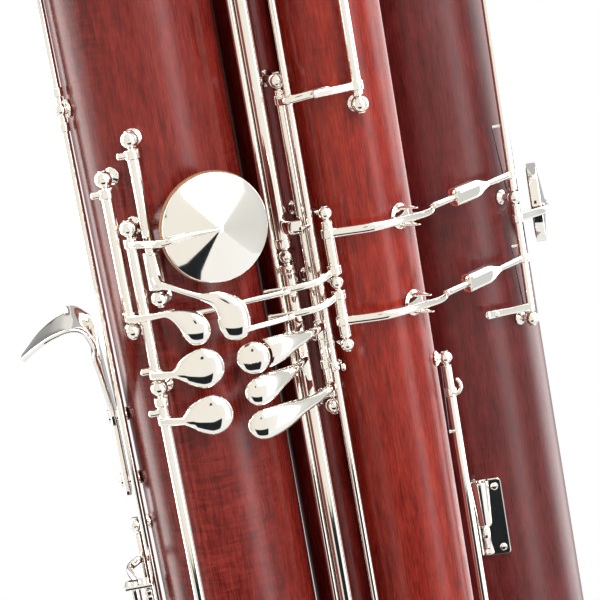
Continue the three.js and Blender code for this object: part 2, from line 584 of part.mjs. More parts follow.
const thumbArm = [[0, 0, 0], [0.05, 0.28, 0.06], [0.3, 0.6, 0.3], [0.6, 0.85, 0.6], [0.85, 0.97, 0.9], [1, 1, 1]];
const thumbHubs = [-6.4, -19.9, -29.4].map(overKeys);
const sharpKey = () => {
  const made = padCup(thickLine, bass, thickCup, -1);
  const body = join(sleeve(thickLine, thickLowEnds, thickTube, 0), made.body,
    cupArm(thickLine, overKeys(thickCup.rise), made, thickCup, -1),
    spoon(thickLine, thumbHubs[1], midThumb, thumbArm, thumbShares, -1));
  return cut(body, axleBore(thickLine, thickLowEnds, thickTube));
};
place('low_c_sharp_key', sharpKey(), silverFinish);
place('low_c_sharp_pad', cupPad(thickLine, bass, thickCup, -1), padFinish);
const wingAxles = () => join(axleSet(thickLine, thickPosts, slimHead, thickTube),
  axleSet(ventLine, ventPosts, smallPost, slimTube));
place('low_c_sharp_axle', wingAxles(), silverFinish);

const ventEnds = sleeveEnds(ventPosts[0], ventPosts[1], smallPost);
const buttonHeight = overKeys(-9.8);
const octaveKey = () => {
  const made = padCup(ventLine, bass, ventCup, -1);
  const centre = ahead(ventLine, -button.reach, -button.front, buttonHeight);
  const facing = new THREE.Matrix4().makeRotationX(Math.PI / 2).setPosition(centre);
  const { radius, height } = button;
  const cap = turned([[0, -height / 2], [radius * 0.7, -height / 2], [radius, 0], [radius * 0.86, height * 0.4],
    [radius * 0.5, height * 0.7], [0, height * 0.8]], cupSides, facing);
  const arm = limb([ahead(ventLine, 0, 0, buttonHeight),
    ahead(ventLine, -button.reach * 0.2, -button.front / 3, buttonHeight),
    ahead(ventLine, -button.reach * 0.6, -button.front * 0.75, buttonHeight), centre], armWidth, armThick);
  const body = join(sleeve(ventLine, ventEnds, slimTube, 0), made.body, cap, arm,
    cupArm(ventLine, overKeys(ventCup.rise), made, ventCup, -1));
  return cut(body, axleBore(ventLine, ventEnds, slimTube));
};
place('octave_key', octaveKey(), silverFinish);

const thumbSplit = overKeys(-8.6);
const thumbHighEnds = [thumbPosts[0] - post.ball - clear, thumbSplit + clear];
const thumbLowEnds = [thumbSplit, thumbPosts[1] + post.ball + clear];
const overHub = thumbHighEnds[0] - collarHeight;
const overHeight = overHub + overArm.lift;
const highThumbKey = () => {
  const arm = limb([ahead(thumbLine, 0, 0, overHub),
    ahead(thumbLine, overArm.split * 0.36, -overArm.rise * 0.12, overHub),
    ahead(thumbLine, overArm.split * 0.72, -overArm.rise * 0.7, overHeight - overArm.lift / 3),
    ahead(thumbLine, overArm.split * 1.1, -overArm.rise, overHeight)], armWidth, armThick);
  const body = join(sleeve(thumbLine, thumbHighEnds, midTube, 0), collar(thumbLine, overHub, midTube), arm,
    spoon(thumbLine, thumbHubs[0], highThumb, thumbArm, thumbShares, -1));
  return cut(body, axleBore(thumbLine, thumbHighEnds, midTube));
};
place('high_octave_touch', highThumbKey(), silverFinish);

const nib = { drop: 13, reach: 5.4, front: 9.4, thick: 1.6, width: 2.6 };
const lowThumbKey = () => {
  const level = thumbLowEnds[0] - nib.drop;
  const arm = limb([ahead(thumbLine, 0, 0, level), ahead(thumbLine, nib.reach, -nib.reach / 4, level),
    ahead(thumbLine, nib.reach * 1.05, -nib.front, level)], nib.width, nib.thick);
  const body = join(sleeve(thumbLine, thumbLowEnds, midTube, 0), arm,
    spoon(thumbLine, thumbHubs[2], deepThumb, thumbArm, thumbShares, -1));
  return cut(body, axleBore(thumbLine, thumbLowEnds, midTube));
};
place('f_sharp_thumb_key', lowThumbKey(), silverFinish);
place('thumb_axle', axleSet(thumbLine, thumbPosts, post, midTube), silverFinish);

const slimEnds = sleeveEnds(slimPosts[0], slimPosts[1], smallPost);
const slimKey = () => {
  const made = padCup(slimLine, middle, slimCup);
  const level = thumbLowEnds[0] - nib.drop;
  const pusher = between(ahead(slimLine, 0, 0, level), ahead(slimLine, nib.thick / 2, -nib.front * 0.45, level),
    nib.thick / 2);
  const finger = between(ahead(slimLine, 0, 0, overKeys(bridgeArm.rise)),
    ahead(slimLine, -nib.reach * 0.7, -nib.front * 0.45, overKeys(bridgeArm.rise)), nib.thick / 2);
  const body = join(sleeve(slimLine, slimEnds, slimTube, 0), made.body, pusher, finger,
    cupArm(slimLine, overKeys(slimCup.rise), made, slimCup));
  return cut(body, axleBore(slimLine, slimEnds, slimTube));
};
place('f_sharp_key', slimKey(), silverFinish);
place('f_sharp_axle', axleSet(slimLine, slimPosts, smallPost, slimTube), silverFinish);

// Cross levers carry the link keys' motion over the middle joint to the long joint
const crossLever = (ends, linkLevel, crossLevel) => {
  const barArm = limb([ahead(crossLine, 0, 0, linkLevel),
    ahead(crossLine, -bar.reach / 4, -bar.behind * 0.7, linkLevel - bar.drop * 0.8),
    ahead(crossLine, -bar.reach * 0.6, -bar.behind, linkLevel - bar.drop),
    ahead(crossLine, -bar.reach, -bar.behind, linkLevel - bar.drop)], bar.width, bar.thick);
  const overWood = crossTurns.map((turn, i) => besideTube(middle, turn,
    i === crossTurns.length - 1 ? crossArm.tipLift : crossArm.lift, crossLevel));
  const arm = limb([ahead(crossLine, 0, -wideTube.outer / 2, crossLevel), ...overWood],
    crossArm.width, crossArm.thick, { steps: 8 });
  const hubs = [linkLevel, crossLevel].map((z) => collar(crossLine, z, wideTube));
  const body = join(sleeve(crossLine, ends, wideTube, 0), hubs, barArm, arm);
  return cut(body, axleBore(crossLine, ends, wideTube));
};
const guideFork = (level) => {
  const at = (out) => onTube(middle, guide.turn, level, out);
  const foot = turned([[0, clear], [guide.foot, clear], [guide.foot * 0.8, clear + guide.thick],
    [0, clear + guide.thick]], plateSides, at(0));
  const prongs = [1, -1].map((side) => {
    const frame = at(clear + guide.reach / 2).multiply(
      new THREE.Matrix4().makeTranslation(0, side * (guide.gap + guide.prong) / 2, 0));
    return block(frame, guide.width, guide.prong, guide.reach);
  });
  return join(foot, prongs);
};
const upperCrossEnds = sleeveEnds(crossPosts[0], crossPosts[1], smallPost);
const lowerCrossEnds = sleeveEnds(crossPosts[1], crossPosts[2], smallPost);
const upperCross = overKeys(27.6);
const lowerCross = overKeys(-4.8);
place('upper_cross_lever', crossLever(upperCrossEnds, linkHeights[0], upperCross), silverFinish);
place('lower_cross_lever', crossLever(lowerCrossEnds, linkHeights[1], lowerCross), silverFinish);
place('upper_lever_guide', guideFork(upperCross), silverFinish);
place('lower_lever_guide', guideFork(lowerCross), silverFinish);
place('cross_lever_axle', axleSet(crossLine, crossPosts, smallPost, wideTube), silverFinish);

// Side keys on the long joint
const sideArm = (level) => {
  const hub = ahead(sideLine, 0, 0, level + sideArmRise);
  const fork = besideTube(middle, forkTurn, crossArm.tipLift + forkGap, level + forkRise);
  const at = (share) => hub.clone().lerp(fork, share);
  const thin = limb([hub, at(0.5), fork], armWidth, armThick, { widthShares: [1, 0.9, 0.8] });
  const sleeveBody = limb([at(0.36), at(0.4), at(0.7), at(0.74)], sleeveBlock.width, sleeveBlock.thick,
    { widthShares: [0.5, 1, 1, 0.9], thickShares: [0.7, 1, 1, 1], steps: 3 });
  return join(thin, sleeveBody);
};
const highSideEnds = sleeveEnds(sidePosts[0], sidePosts[1], smallPost);
const lowSideEnds = sleeveEnds(sidePosts[1], sidePosts[2], smallPost);
const sideKey = (ends, level, shape, armLevel) => {
  const made = padCup(sideLine, long, shape);
  const over = cupArm(sideLine, armLevel, made, shape);
  return join(sleeve(sideLine, ends, thinTube, 0), made.body, over, sideArm(level),
    collar(sideLine, level + sideArmRise, thinTube), collar(sideLine, armLevel, thinTube));
};
const highSideKey = () => cut(sideKey(highSideEnds, upperCross, highSideCup, overKeys(highSideCup.rise)),
  axleBore(sideLine, highSideEnds, thinTube));
const lever = { reach: 17.3, back: 10, rise: 2, screwShare: 0.82, screw: 1.1, proud: 1.5, deep: 4 };
const lowSideKey = () => {
  const level = lowSideEnds[1] + collarHeight / 2;
  const along = (share, front) => ahead(sideLine, -share * lever.reach, -share * lever.back - front,
    level + share * lever.rise);
  const arm = limb([along(0, 0), along(0.5, 0), along(1, 0)], armWidth, armThick, { widthShares: [1, 0.9, 0.9] });
  const screw = between(along(lever.screwShare, lever.proud), along(lever.screwShare, -lever.deep), lever.screw);
  const body = join(sideKey(lowSideEnds, lowerCross, lowSideCup, overKeys(lowSideCup.rise)), arm, screw);
  return cut(body, axleBore(sideLine, lowSideEnds, thinTube));
};
place('high_side_key', highSideKey(), silverFinish);
place('high_side_pad', cupPad(sideLine, long, highSideCup), padFinish);
place('low_side_key', lowSideKey(), silverFinish);
place('low_side_pad', cupPad(sideLine, long, lowSideCup), padFinish);
place('side_axle', axleSet(sideLine, sidePosts, smallPost, thinTube), silverFinish);

// Octave bridge on the middle joint, and the low vent key between it and the long joint
const bridgeEnds = sleeveEnds(bridgePosts[0], bridgePosts[1], post);
const bridgeKey = () => {
  const made = padCup(bridgeLine, middle, bridgeCup, -1);
  const arm = limb([ahead(bridgeLine, 0, 0, overHeight), ahead(bridgeLine, -overArm.split / 2, -armWidth, overHeight),
    ahead(bridgeLine, -overArm.split, -armWidth - armThick, overHeight)], armWidth, armThick);
  const body = join(sleeve(bridgeLine, bridgeEnds, wideTube, 0), made.body, arm,
    collar(bridgeLine, overHeight, wideTube), cupArm(bridgeLine, overKeys(bridgeCup.rise), made, bridgeCup, -1));
  return cut(body, axleBore(bridgeLine, bridgeEnds, wideTube));
};
place('high_octave_key', bridgeKey(), silverFinish);
place('high_octave_axle', axleSet(bridgeLine, bridgePosts, post, wideTube), silverFinish);

const ventLowEnds = sleeveEnds(lowPosts[0], lowPosts[1], smallPost);
const hook = { drop: 13.4, reach: 4.4, rise: 5.6, front: 4.4 };
const deepKey = () => {
  const made = padCup(lowLine, long, deepCup);
  const level = lowPosts[0] - hook.drop;
  const curl = limb([ahead(lowLine, 0, 0, level), ahead(lowLine, hook.reach / 2, -hook.front, level),
    ahead(lowLine, hook.reach, -hook.front, level + hook.rise)], armWidth, armThick,
  { across: new THREE.Vector3(0, 1, 0) });
  const body = join(sleeve(lowLine, ventLowEnds, thinTube, 0), made.body, curl,
    collar(lowLine, level, thinTube), collar(lowLine, overKeys(deepCup.rise), thinTube),
    cupArm(lowLine, overKeys(deepCup.rise), made, deepCup));
  return cut(body, axleBore(lowLine, ventLowEnds, thinTube));
};
place('b_flat_vent_key', deepKey(), silverFinish);
place('b_flat_vent_pad', cupPad(lowLine, long, deepCup), padFinish);
place('b_flat_vent_axle', axleSet(lowLine, lowPosts, smallPost, thinTube), silverFinish);

// Bows: a half-circle pipe between two joints, with a socket at each joint's end
class HalfCircle extends THREE.Curve {
  constructor(from, to, level, up) {
    super();
    this.start = point(from.axis, level);
    this.end = point(to.axis, level);
    this.half = this.end.clone().sub(this.start).multiplyScalar(1 / 2);
    this.rise = new THREE.Vector3(0, 0, up * this.half.length());
  }

  getPoint(t, target = new THREE.Vector3()) {
    const angle = Math.PI * t;
    return target.copy(this.start).add(this.half).addScaledVector(this.half, -Math.cos(angle))
      .addScaledVector(this.rise, Math.sin(angle));
  }
}
const boreAt = (tube, z) => radiusAt(tube, z) - tube.wall;
// A capped socket round the outside of a joint's end, or a plug into its bore where joints lie close
const socketRing = (tube, end, up, sides, outline) => turned(
  outline.map(([radius, along]) => [radius, end + up * along]), sides, lift(tube.axis));
const outerSocket = (tube, end, up, pipeRadius) => {
  const inner = radiusAt(tube, end) + Math.abs(tube.taperShare) * ferrule.height + clear;
  const outer = inner + ferrule.wall;
  return socketRing(tube, end, up, tubeSides, [[0, clear], [inner, clear], [inner, -ferrule.height],
    [outer, -ferrule.height], [outer, clear + ferrule.wall], [pipeRadius, clear + 3 * ferrule.wall],
    [0, clear + 3 * ferrule.wall]]);
};
const boreSocket = (tube, end, up, pipeRadius) => {
  const flange = radiusAt(tube, end) - clear;
  const plug = Math.min(boreAt(tube, end), boreAt(tube, end - up * ferrule.height)) - 2 * clear;
  return socketRing(tube, end, up, boreSides, [[0, -ferrule.height / 2], [plug * boreShare, -ferrule.height / 2],
    [plug * boreShare, clear], [flange, clear], [flange, clear + ferrule.wall],
    [Math.min(pipeRadius + ferrule.wall, flange), clear + 3 * ferrule.wall], [0, clear + 3 * ferrule.wall]]);
};
const bow = (from, to, shape, end, up, socket) => {
  const { radius, steps, sides } = shape;
  const path = new HalfCircle(from, to, end + up * clear, up);
  return join(pipe(path, radius, steps, sides), [from, to].map((tube) => socket(tube, end, up, radius)));
};
// Water key: a nipple under the small bow, two lugs with a pin, and the lever that turns on it
const waterPlace = () => {
  const mid = wing.axis.clone().add(middle.axis).multiplyScalar(1 / 2);
  return point(mid, wing.bottom - wing.axis.distanceTo(middle.axis) / 2 - smallBow.radius - clear);
};
const waterPivot = waterPlace().add(new THREE.Vector3(0, -waterKey.pivot, -waterKey.drop));
const smallBowWithLugs = () => {
  const at = waterPlace();
  const xy = new THREE.Vector2(at.x, at.y);
  const nipple = upright(xy, at.z - waterKey.nippleHeight, at.z + smallBow.radius, waterKey.nipple, plateSides);
  const sideways = waterKey.width / 2 + clear + waterKey.lug / 2;
  const deep = waterKey.pivot - waterKey.pad - clear + waterKey.hub;
  const lugs = [sideways, -sideways].map((x) => {
    const frame = new THREE.Matrix4().makeTranslation(at.x + x, waterPivot.y + deep / 2 - waterKey.hub,
      waterPivot.z - waterKey.hub + waterKey.lugHigh / 2);
    return block(frame, waterKey.lug, deep, waterKey.lugHigh);
  });
  const pin = between(waterPivot.clone().add(new THREE.Vector3(sideways, 0, 0)),
    waterPivot.clone().add(new THREE.Vector3(-sideways, 0, 0)), waterKey.pin);
  return join(bow(wing, middle, smallBow, wing.bottom, -1, boreSocket), nipple, lugs, pin);
};
const waterLever = () => {
  const at = waterPlace();
  const seat = at.z - waterKey.nippleHeight - clear;
  const pad = upright(new THREE.Vector2(at.x, at.y), seat - waterKey.thick, seat, waterKey.pad, plateSides);
  const half = waterKey.width / 2;
  const hub = between(waterPivot.clone().add(new THREE.Vector3(half, 0, 0)),
    waterPivot.clone().add(new THREE.Vector3(-half, 0, 0)), waterKey.hub, plateSides);
  const arm = limb([new THREE.Vector3(at.x, at.y, seat - waterKey.thick), waterPivot,
    waterPivot.clone().add(new THREE.Vector3(0, -waterKey.reach / 2, 0)),
    waterPivot.clone().add(new THREE.Vector3(0, -waterKey.reach * 0.8, waterKey.nippleHeight))],
  waterKey.width, waterKey.thick, { across: new THREE.Vector3(1, 0, 0) });
  const hole = between(waterPivot.clone().add(new THREE.Vector3(waterKey.width, 0, 0)),
    waterPivot.clone().add(new THREE.Vector3(-waterKey.width, 0, 0)), waterKey.pin + boreClear);
  return cut(join(pad, hub, arm), hole);
};
place('small_bottom_bow', smallBowWithLugs(), silverFinish);
place('water_key', waterLever(), silverFinish);
place('top_bow', bow(middle, long, topBow, middle.top, 1, boreSocket), silverFinish);

// Yokes: flat plates that hold the joints together, each with a ring round every joint
const yokePlate = (tubes, low) => {
  const radius = (tube, z) => Math.max(radiusAt(tube, z), radiusAt(tube, z + yoke.height));
  const rings = tubes.map((tube) => upright(tube.axis, low, low + yoke.height,
    radius(tube, low) + yoke.rim, plateSides));
  const bridges = tubes.slice(1).map((tube, i) => {
    const way = tube.axis.clone().sub(tubes[i].axis);
    const centre = tube.axis.clone().add(tubes[i].axis).multiplyScalar(1 / 2);
    const frame = new THREE.Matrix4().makeRotationZ(Math.atan2(way.y, way.x));
    frame.setPosition(centre.x, centre.y, low + yoke.height / 2);
    return block(frame, way.length(), radiusAt(tubes[i], low), yoke.height);
  });
  const holes = tubes.map((tube) => upright(tube.axis, low - overrun, low + yoke.height + overrun,
    radius(tube, low) + clear, tubeSides));
  return cut(join(rings, bridges), holes);
};
const receiverTube = { axis: wing.axis, radius: receiver.outer, taperShare: 0 };
place('lower_yoke', yokePlate([bass, wing, middle, long], lowerYokeHeight), silverFinish);
place('upper_yoke', yokePlate([bass, receiverTube, middle, long], upperYokeHeight), silverFinish);

// Bell: a wooden body on the bass joint's top with a metal socket and ring made in one with it
const bellBody = () => {
  const base = bass.top + clear;
  const rimHeight = base + bell.height;
  const socketInner = radiusAt(bass, bass.top) + clear;
  const socketOuter = socketInner + ferrule.wall * 1.5;
  const inside = radiusAt(bass, bass.top) - bass.wall;
  const profile = [[inside, base], [socketInner, base], [socketInner, base - bell.socket],
    [socketOuter, base - bell.socket], [socketOuter, base + ferrule.wall],
    [bell.waist + ferrule.wall, base + bell.socket], [bell.waist, base + bell.height * 0.35],
    [bell.waist + (bell.mouth - bell.waist) * 0.45, base + bell.height * 0.75],
    [bell.mouth, rimHeight - bell.bead * 3], [bell.mouth + bell.bead, rimHeight - bell.bead * 2],
    [bell.mouth + bell.bead, rimHeight - bell.bead], [bell.mouth, rimHeight],
    [bell.mouth - bell.wall, rimHeight], [inside, base + bell.height * 0.35]];
  return turned(closed(profile), tubeSides, lift(bass.axis));
};
place('bell', bellBody(), woodFinish);

// Tuning slide: a receiver on the wing joint, the slide in it, its clamp screw and the bocal
const receiverTop = wing.top + clear + receiver.height;
const receiverBody = () => {
  const inner = slide.outer + boreClear;
  const base = wing.top + clear;
  const collarLow = receiverTop - receiver.collarHeight;
  const level = receiverTop - receiver.collarHeight / 2;
  const plug = boreAt(wing, wing.top) - 2 * clear;
  const flange = radiusAt(wing, wing.top);
  const shell = turned(closed([[receiver.bore, base - receiver.plug], [plug, base - receiver.plug], [plug, base],
    [flange, base], [flange, base + receiver.flange], [receiver.outer, base + 2 * receiver.flange],
    [receiver.outer, collarLow], [receiver.collar, collarLow], [receiver.collar, receiverTop],
    [inner, receiverTop], [inner, base + receiver.flange], [receiver.bore, base + receiver.flange]]),
  cupSides, lift(wing.axis));
  const lugFrame = new THREE.Matrix4().makeTranslation(wing.axis.x,
    wing.axis.y - receiver.collar - slideScrew.lug / 3, level);
  const lug = block(lugFrame, 2 * slideScrew.lug, slideScrew.lug * 1.4, receiver.collarHeight);
  const start = point(wing.axis, level);
  const end = start.clone().setY(wing.axis.y - 2 * slideScrew.reach);
  const well = upright(wing.axis, base + receiver.flange, receiverTop + overrun, inner, cupSides);
  return cut(join(shell, lug), between(start, end, slideScrew.stem + boreClear, plateSides), well);
};
place('slide_receiver', receiverBody(), silverFinish);

const slideTop = receiverTop + slide.showing;
const slideBottom = wing.top + clear + receiver.flange + slide.stop;
const slideBody = () => turned(closed([[slide.outer - slide.wall, slideBottom], [slide.outer, slideBottom],
  [slide.outer, slideTop - slide.collarHeight], [slide.collar, slideTop - slide.collarHeight + slide.wall],
  [slide.collar, slideTop], [bocal.root + clear, slideTop],
  [bocal.root + clear, slideTop - slide.collarHeight],
  [slide.outer - slide.wall, slideTop - slide.collarHeight - 2 * slide.wall]]), cupSides, lift(wing.axis));
place('tuning_slide', slideBody(), silverFinish);

const thumbscrew = (shape, centre, level, gap) => {
  const axis = new THREE.Vector2(centre.x, centre.y);
  const start = new THREE.Vector3(axis.x, axis.y - gap, level);
  const end = new THREE.Vector3(axis.x, axis.y - shape.reach, level);
  const headStart = new THREE.Vector3(axis.x, axis.y - shape.reach + shape.headThick, level);
  const stem = between(start, end, shape.stem);
  const boss = between(headStart, end, shape.stem * 2);
  const frame = new THREE.Matrix4().makeTranslation(axis.x, axis.y - shape.reach - shape.head / 2, level);
  const wings = block(frame, shape.headThick, shape.head, 2 * shape.head);
  return join(stem, boss, wings);
};
place('slide_clamp_screw', thumbscrew(slideScrew, wing.axis, receiverTop - receiver.collarHeight / 2,
  slide.outer + clear), silverFinish);

const bocalBody = () => {
  const foot = point(wing.axis, slideTop - bocal.plunge);
  const bend = (x, y, z) => new THREE.Vector3(wing.axis.x + x, wing.axis.y - y, slideTop + z);
  const points = [foot, bend(0, 0, 0), bend(0, 0, bocal.rise * 0.45), bend(-bocal.lean * 0.1, bocal.forward * 0.12, bocal.rise * 0.85),
    bend(-bocal.lean * 0.4, bocal.forward * 0.4, bocal.rise), bend(-bocal.lean * 0.75, bocal.forward * 0.75, bocal.rise * 0.92),
    bend(-bocal.lean, bocal.forward, bocal.rise - bocal.fall)];
  const across = new THREE.Vector3(1, 0, 0);
  const taper = bocal.tip / bocal.root;
  const outerShares = [1, 1, 1, 0.86, 0.72, 0.58, taper];
  const bore = (bocal.root - bocal.wall) / bocal.root;
  const outer = limb(points, 2 * bocal.root, 2 * bocal.root,
    { widthShares: outerShares, thickShares: outerShares, across, steps: 12, sides: 6 });
  const innerShares = outerShares.map((share) => share * bore - (1 - share) * (1 - bore));
  const inner = limb([foot.clone().setZ(foot.z - overrun), ...points.slice(1, -1),
    points[points.length - 1].clone().add(new THREE.Vector3(-overrun / 8, -overrun, -overrun / 8))],
  2 * bocal.root, 2 * bocal.root,
  { widthShares: innerShares, thickShares: innerShares, across, steps: 12, sides: 6 });
  return cut(outer, inner);
};
place('bocal', bocalBody(), silverFinish);

// Large bow with the end pin's holder in one with it, the sliding pin, its rubber tip and its screw
const bowLowest = bass.bottom - bass.axis.distanceTo(long.axis) / 2 - largeBow.radius - clear;
const holderTop = bowLowest - clear;
const holderBottom = holderTop - pinHolder.height;
const zero = new THREE.Vector2(0, 0);
const bowWithHolder = () => {
  const inner = endPin.radius + boreClear;
  const level = holderBottom + pinHolder.height / 3;
  const tube = upright(zero, holderBottom, holderTop + largeBow.radius / 2, pinHolder.outer, cupSides);
  const lugFrame = new THREE.Matrix4().makeTranslation(0, -pinHolder.outer - pinHolder.lug / 2, level);
  const lug = block(lugFrame, 2 * pinHolder.lug, 2 * pinHolder.lug, 2 * pinHolder.lug);
  const bore = upright(zero, holderBottom - overrun, holderTop, inner, cupSides);
  const screwHole = between(new THREE.Vector3(0, 0, level), new THREE.Vector3(0, -2 * pinScrew.reach, level),
    pinScrew.stem + boreClear, plateSides);
  return cut(join(bow(long, bass, largeBow, bass.bottom, -1, outerSocket), tube, lug), bore, screwHole);
};
place('large_bottom_bow', bowWithHolder(), silverFinish);
place('end_pin', upright(zero, endPin.tipHeight - endPin.tipCore * 2, holderTop - endPin.travel, endPin.radius,
  cupSides), steelFinish);
const tipBody = () => turned([[0, 0], [endPin.tipRadius * 0.7, 0], [endPin.tipRadius, endPin.tipHeight * 0.2],
  [endPin.tipRadius * 0.9, endPin.tipHeight * 0.5], [endPin.tipCore + ferrule.wall, endPin.tipHeight],
  [endPin.radius + clear, endPin.tipHeight], [endPin.radius + clear, endPin.tipHeight - endPin.tipCore * 2 - clear],
  [0, endPin.tipHeight - endPin.tipCore * 2 - clear]], cupSides);
place('end_pin_tip', tipBody(), rubberFinish);
place('end_pin_thumbscrew', thumbscrew(pinScrew, zero, holderBottom + pinHolder.height / 3,
  endPin.radius + clear), silverFinish);

// Hand rest: a saddle that arches out over the far left rod and runs down the joint's flank
const handRest = () => {
  const flank = bass.axis.x - radiusAt(bass, overKeys(rest.crown)) - rest.standoff;
  const fore = bass.axis.y - 1.3 * rest.depth;
  const tailAt = bass.axis.y - rest.depth / 4;
  const x = (share) => flank - share * rest.reach;
  const path = [[0.9, 1, 0.62], [0.66, 1, 0.28], [0.4, 1, 0.05], [0.18, 0.97, 0], [0.02, 0.8, 0.35],
    [0, 0.55, 1.05], [0, 0.25, 1.9], [0, 0, 2.7], [0, 0, 3.8], [0, 0, 4.7]];
  const points = path.map(([out, front, down]) => new THREE.Vector3(x(out),
    THREE.MathUtils.lerp(tailAt, fore, front), overKeys(rest.crown) - down * rest.rise));
  const arch = limb(points, rest.depth, rest.thick, {
    widthShares: [0.3, 0.82, 1, 1, 0.92, 0.66, 0.42, 0.36, 0.36, 0.34], across: new THREE.Vector3(0, 1, 0),
    steps: 14, sides: 6 });
  const bosses = [restScrews[0] - rest.rise / 2, restScrews[1] + rest.thick].map((level) => {
    const offset = tailAt - bass.axis.y;
    const seatX = bass.axis.x - Math.sqrt(radiusAt(bass, level) ** 2 - offset ** 2) - 2 * clear;
    return between(new THREE.Vector3(flank - rest.thick / 2 - restBoss.headThick, tailAt, level),
      new THREE.Vector3(seatX, tailAt, level), restBoss.radius);
  });
  return join(arch, bosses);
};
place('hand_rest', handRest(), silverFinish);

// Strap bracket on the long joint: a plate with a half-round socket, a curled foot and two screws
const strapBracket = () => {
  const at = (x, y, out) => onTube(long, plate.turn, keysHeight - plate.drop, clear + out)
    .multiply(new THREE.Matrix4().makeTranslation(x, y, 0));
  const slab = block(at(0, plate.height / 2, plate.thick / 2), plate.width, plate.height, plate.thick);
  const socketX = -plate.width / 2 + plateSocket.radius;
  const top = plate.height;
  const low = plate.height - plateSocket.height;
  const corner = (y) => new THREE.Vector3(0, 0, 0).applyMatrix4(at(socketX, y, plate.thick));
  const tube = between(corner(low), corner(top), plateSocket.radius);
  const hollow = between(corner(low + plateSocket.wall), corner(top + overrun), plateSocket.radius - plateSocket.wall);
  const curlAt = (y, out) => new THREE.Vector3(0, 0, 0).applyMatrix4(at(socketX, y, plate.thick + out));
  const curl = limb([curlAt(low - plateSocket.radius, 0), curlAt(low - plateSocket.radius, plateSocket.radius * 1.6),
    curlAt(low - 2.2 * plateSocket.radius, plateSocket.radius * 1.6), curlAt(low - 2.9 * plateSocket.radius, 0)],
  plateSocket.radius * 1.6, plate.thick, { across: new THREE.Vector3(1, 0, 0), steps: 8 });
  const screwX = plate.width / 2 - plateScrew.inset;
  const heads = [plateScrew.inset, plate.height - plateScrew.inset].map((y) => turned(
    [[0, 0], [plateScrew.radius, 0], [plateScrew.radius, plate.thick / 2], [0, plate.thick / 2 + plateScrew.thick]],
    10, at(screwX, y, plate.thick / 2)));
  const behind = block(at(0, plate.height / 2, -plateSocket.radius), 2 * plate.width, 2 * plate.height,
    2 * plateSocket.radius);
  return cut(join(slab, tube, curl, heads), hollow, behind);
};
place('strap_bracket', strapBracket(), silverFinish);

export default instrument;
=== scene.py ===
"""Looks of the contrabassoon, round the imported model. Lengths are millimetres until a mesh is made."""

import math

import bmesh
import bpy
import numpy as np
from mathutils import Matrix

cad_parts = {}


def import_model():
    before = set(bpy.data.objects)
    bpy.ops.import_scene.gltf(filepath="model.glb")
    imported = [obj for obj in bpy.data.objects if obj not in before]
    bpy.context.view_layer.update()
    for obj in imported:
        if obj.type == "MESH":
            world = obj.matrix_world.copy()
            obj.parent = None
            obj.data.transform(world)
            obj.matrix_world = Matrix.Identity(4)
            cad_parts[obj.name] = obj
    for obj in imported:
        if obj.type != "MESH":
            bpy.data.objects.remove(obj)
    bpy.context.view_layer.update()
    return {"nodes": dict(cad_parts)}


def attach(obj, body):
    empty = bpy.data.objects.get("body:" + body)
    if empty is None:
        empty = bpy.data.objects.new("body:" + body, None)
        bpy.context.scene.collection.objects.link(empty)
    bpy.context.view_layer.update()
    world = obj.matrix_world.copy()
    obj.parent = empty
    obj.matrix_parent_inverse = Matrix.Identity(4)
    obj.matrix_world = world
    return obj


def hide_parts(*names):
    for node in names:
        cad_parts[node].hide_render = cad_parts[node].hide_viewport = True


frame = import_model()

MM = 0.001
UP = np.array([0.0, 0.0, 1.0])
FRONT = np.array([0.0, -1.0, 0.0])
SIDEWAYS = np.array([1.0, 0.0, 0.0])

# --- Dimensions, most of them the same as in the part's source ------------------------------------
CLEAR = 0.3
KEYS = 760.0


def over_keys(rise):
    return KEYS + rise


def levels(*rises):
    return [over_keys(rise) for rise in rises]


def joint(bottom, top, radius, taper, wall):
    return {"bottom": over_keys(bottom), "top": over_keys(top), "radius": radius, "taper": taper,
            "wall": wall}


BASS = joint(-530, 470, 28.8, 0.0045, 6.5)
WING = joint(-460, 240, 12, -0.0015, 6)
MIDDLE = joint(-460, 420, 18.6, 0.003, 8)
LONG = joint(-530, 420, 29.2, -0.011, 9)
TUBE_GAP = 0.9


def toward(turn, distance=1.0):
    """A point at a turn from the player's side (-Y) towards +X."""
    angle = math.radians(turn)
    return np.array([math.sin(angle) * distance, -math.cos(angle) * distance])


def radius_at(tube, z):
    return tube["radius"] + tube["taper"] * (z - KEYS)


def spacing(first, second):
    low, high = max(first["bottom"], second["bottom"]), min(first["top"], second["top"])
    return max(radius_at(first, z) + radius_at(second, z) for z in (low, high)) + TUBE_GAP


WING["axis"] = np.zeros(2)
BASS["axis"] = toward(-74.3, spacing(WING, BASS))
MIDDLE["axis"] = toward(65.1, spacing(WING, MIDDLE))
LONG["axis"] = MIDDLE["axis"] + toward(139.3, spacing(MIDDLE, LONG))
ORIGIN = (BASS["axis"] + LONG["axis"]) / 2
for tube in (WING, BASS, MIDDLE, LONG):
    tube["axis"] = tube["axis"] - ORIGIN

POST = {"foot": 3.2, "foot_height": 1, "waist": 1.3, "ball": 3.2}
SMALL_POST = {"foot": 2.8, "foot_height": 0.9, "waist": 1.1, "ball": 2.6}
SLIM_HEAD = {"foot": 3.2, "foot_height": 1, "waist": 1.3, "ball": 2.85}
GUIDE_POST = {"foot": 3.4, "foot_height": 0.9, "waist": 1, "ball": 2.6}
GUIDE_LEVEL = over_keys(86)


def hinge_line(tube, turn, lift, axle, outer, post, *rises):
    """Where a row of posts stands, the radii of its axle and its hinge tubes, and its posts' heights."""
    return {"tube": tube, "turn": turn, "lift": lift,
            "at": tube["axis"] + toward(turn, tube["radius"] + lift),
            "axle": axle, "outer": outer, "post": post, "posts": levels(*rises)}


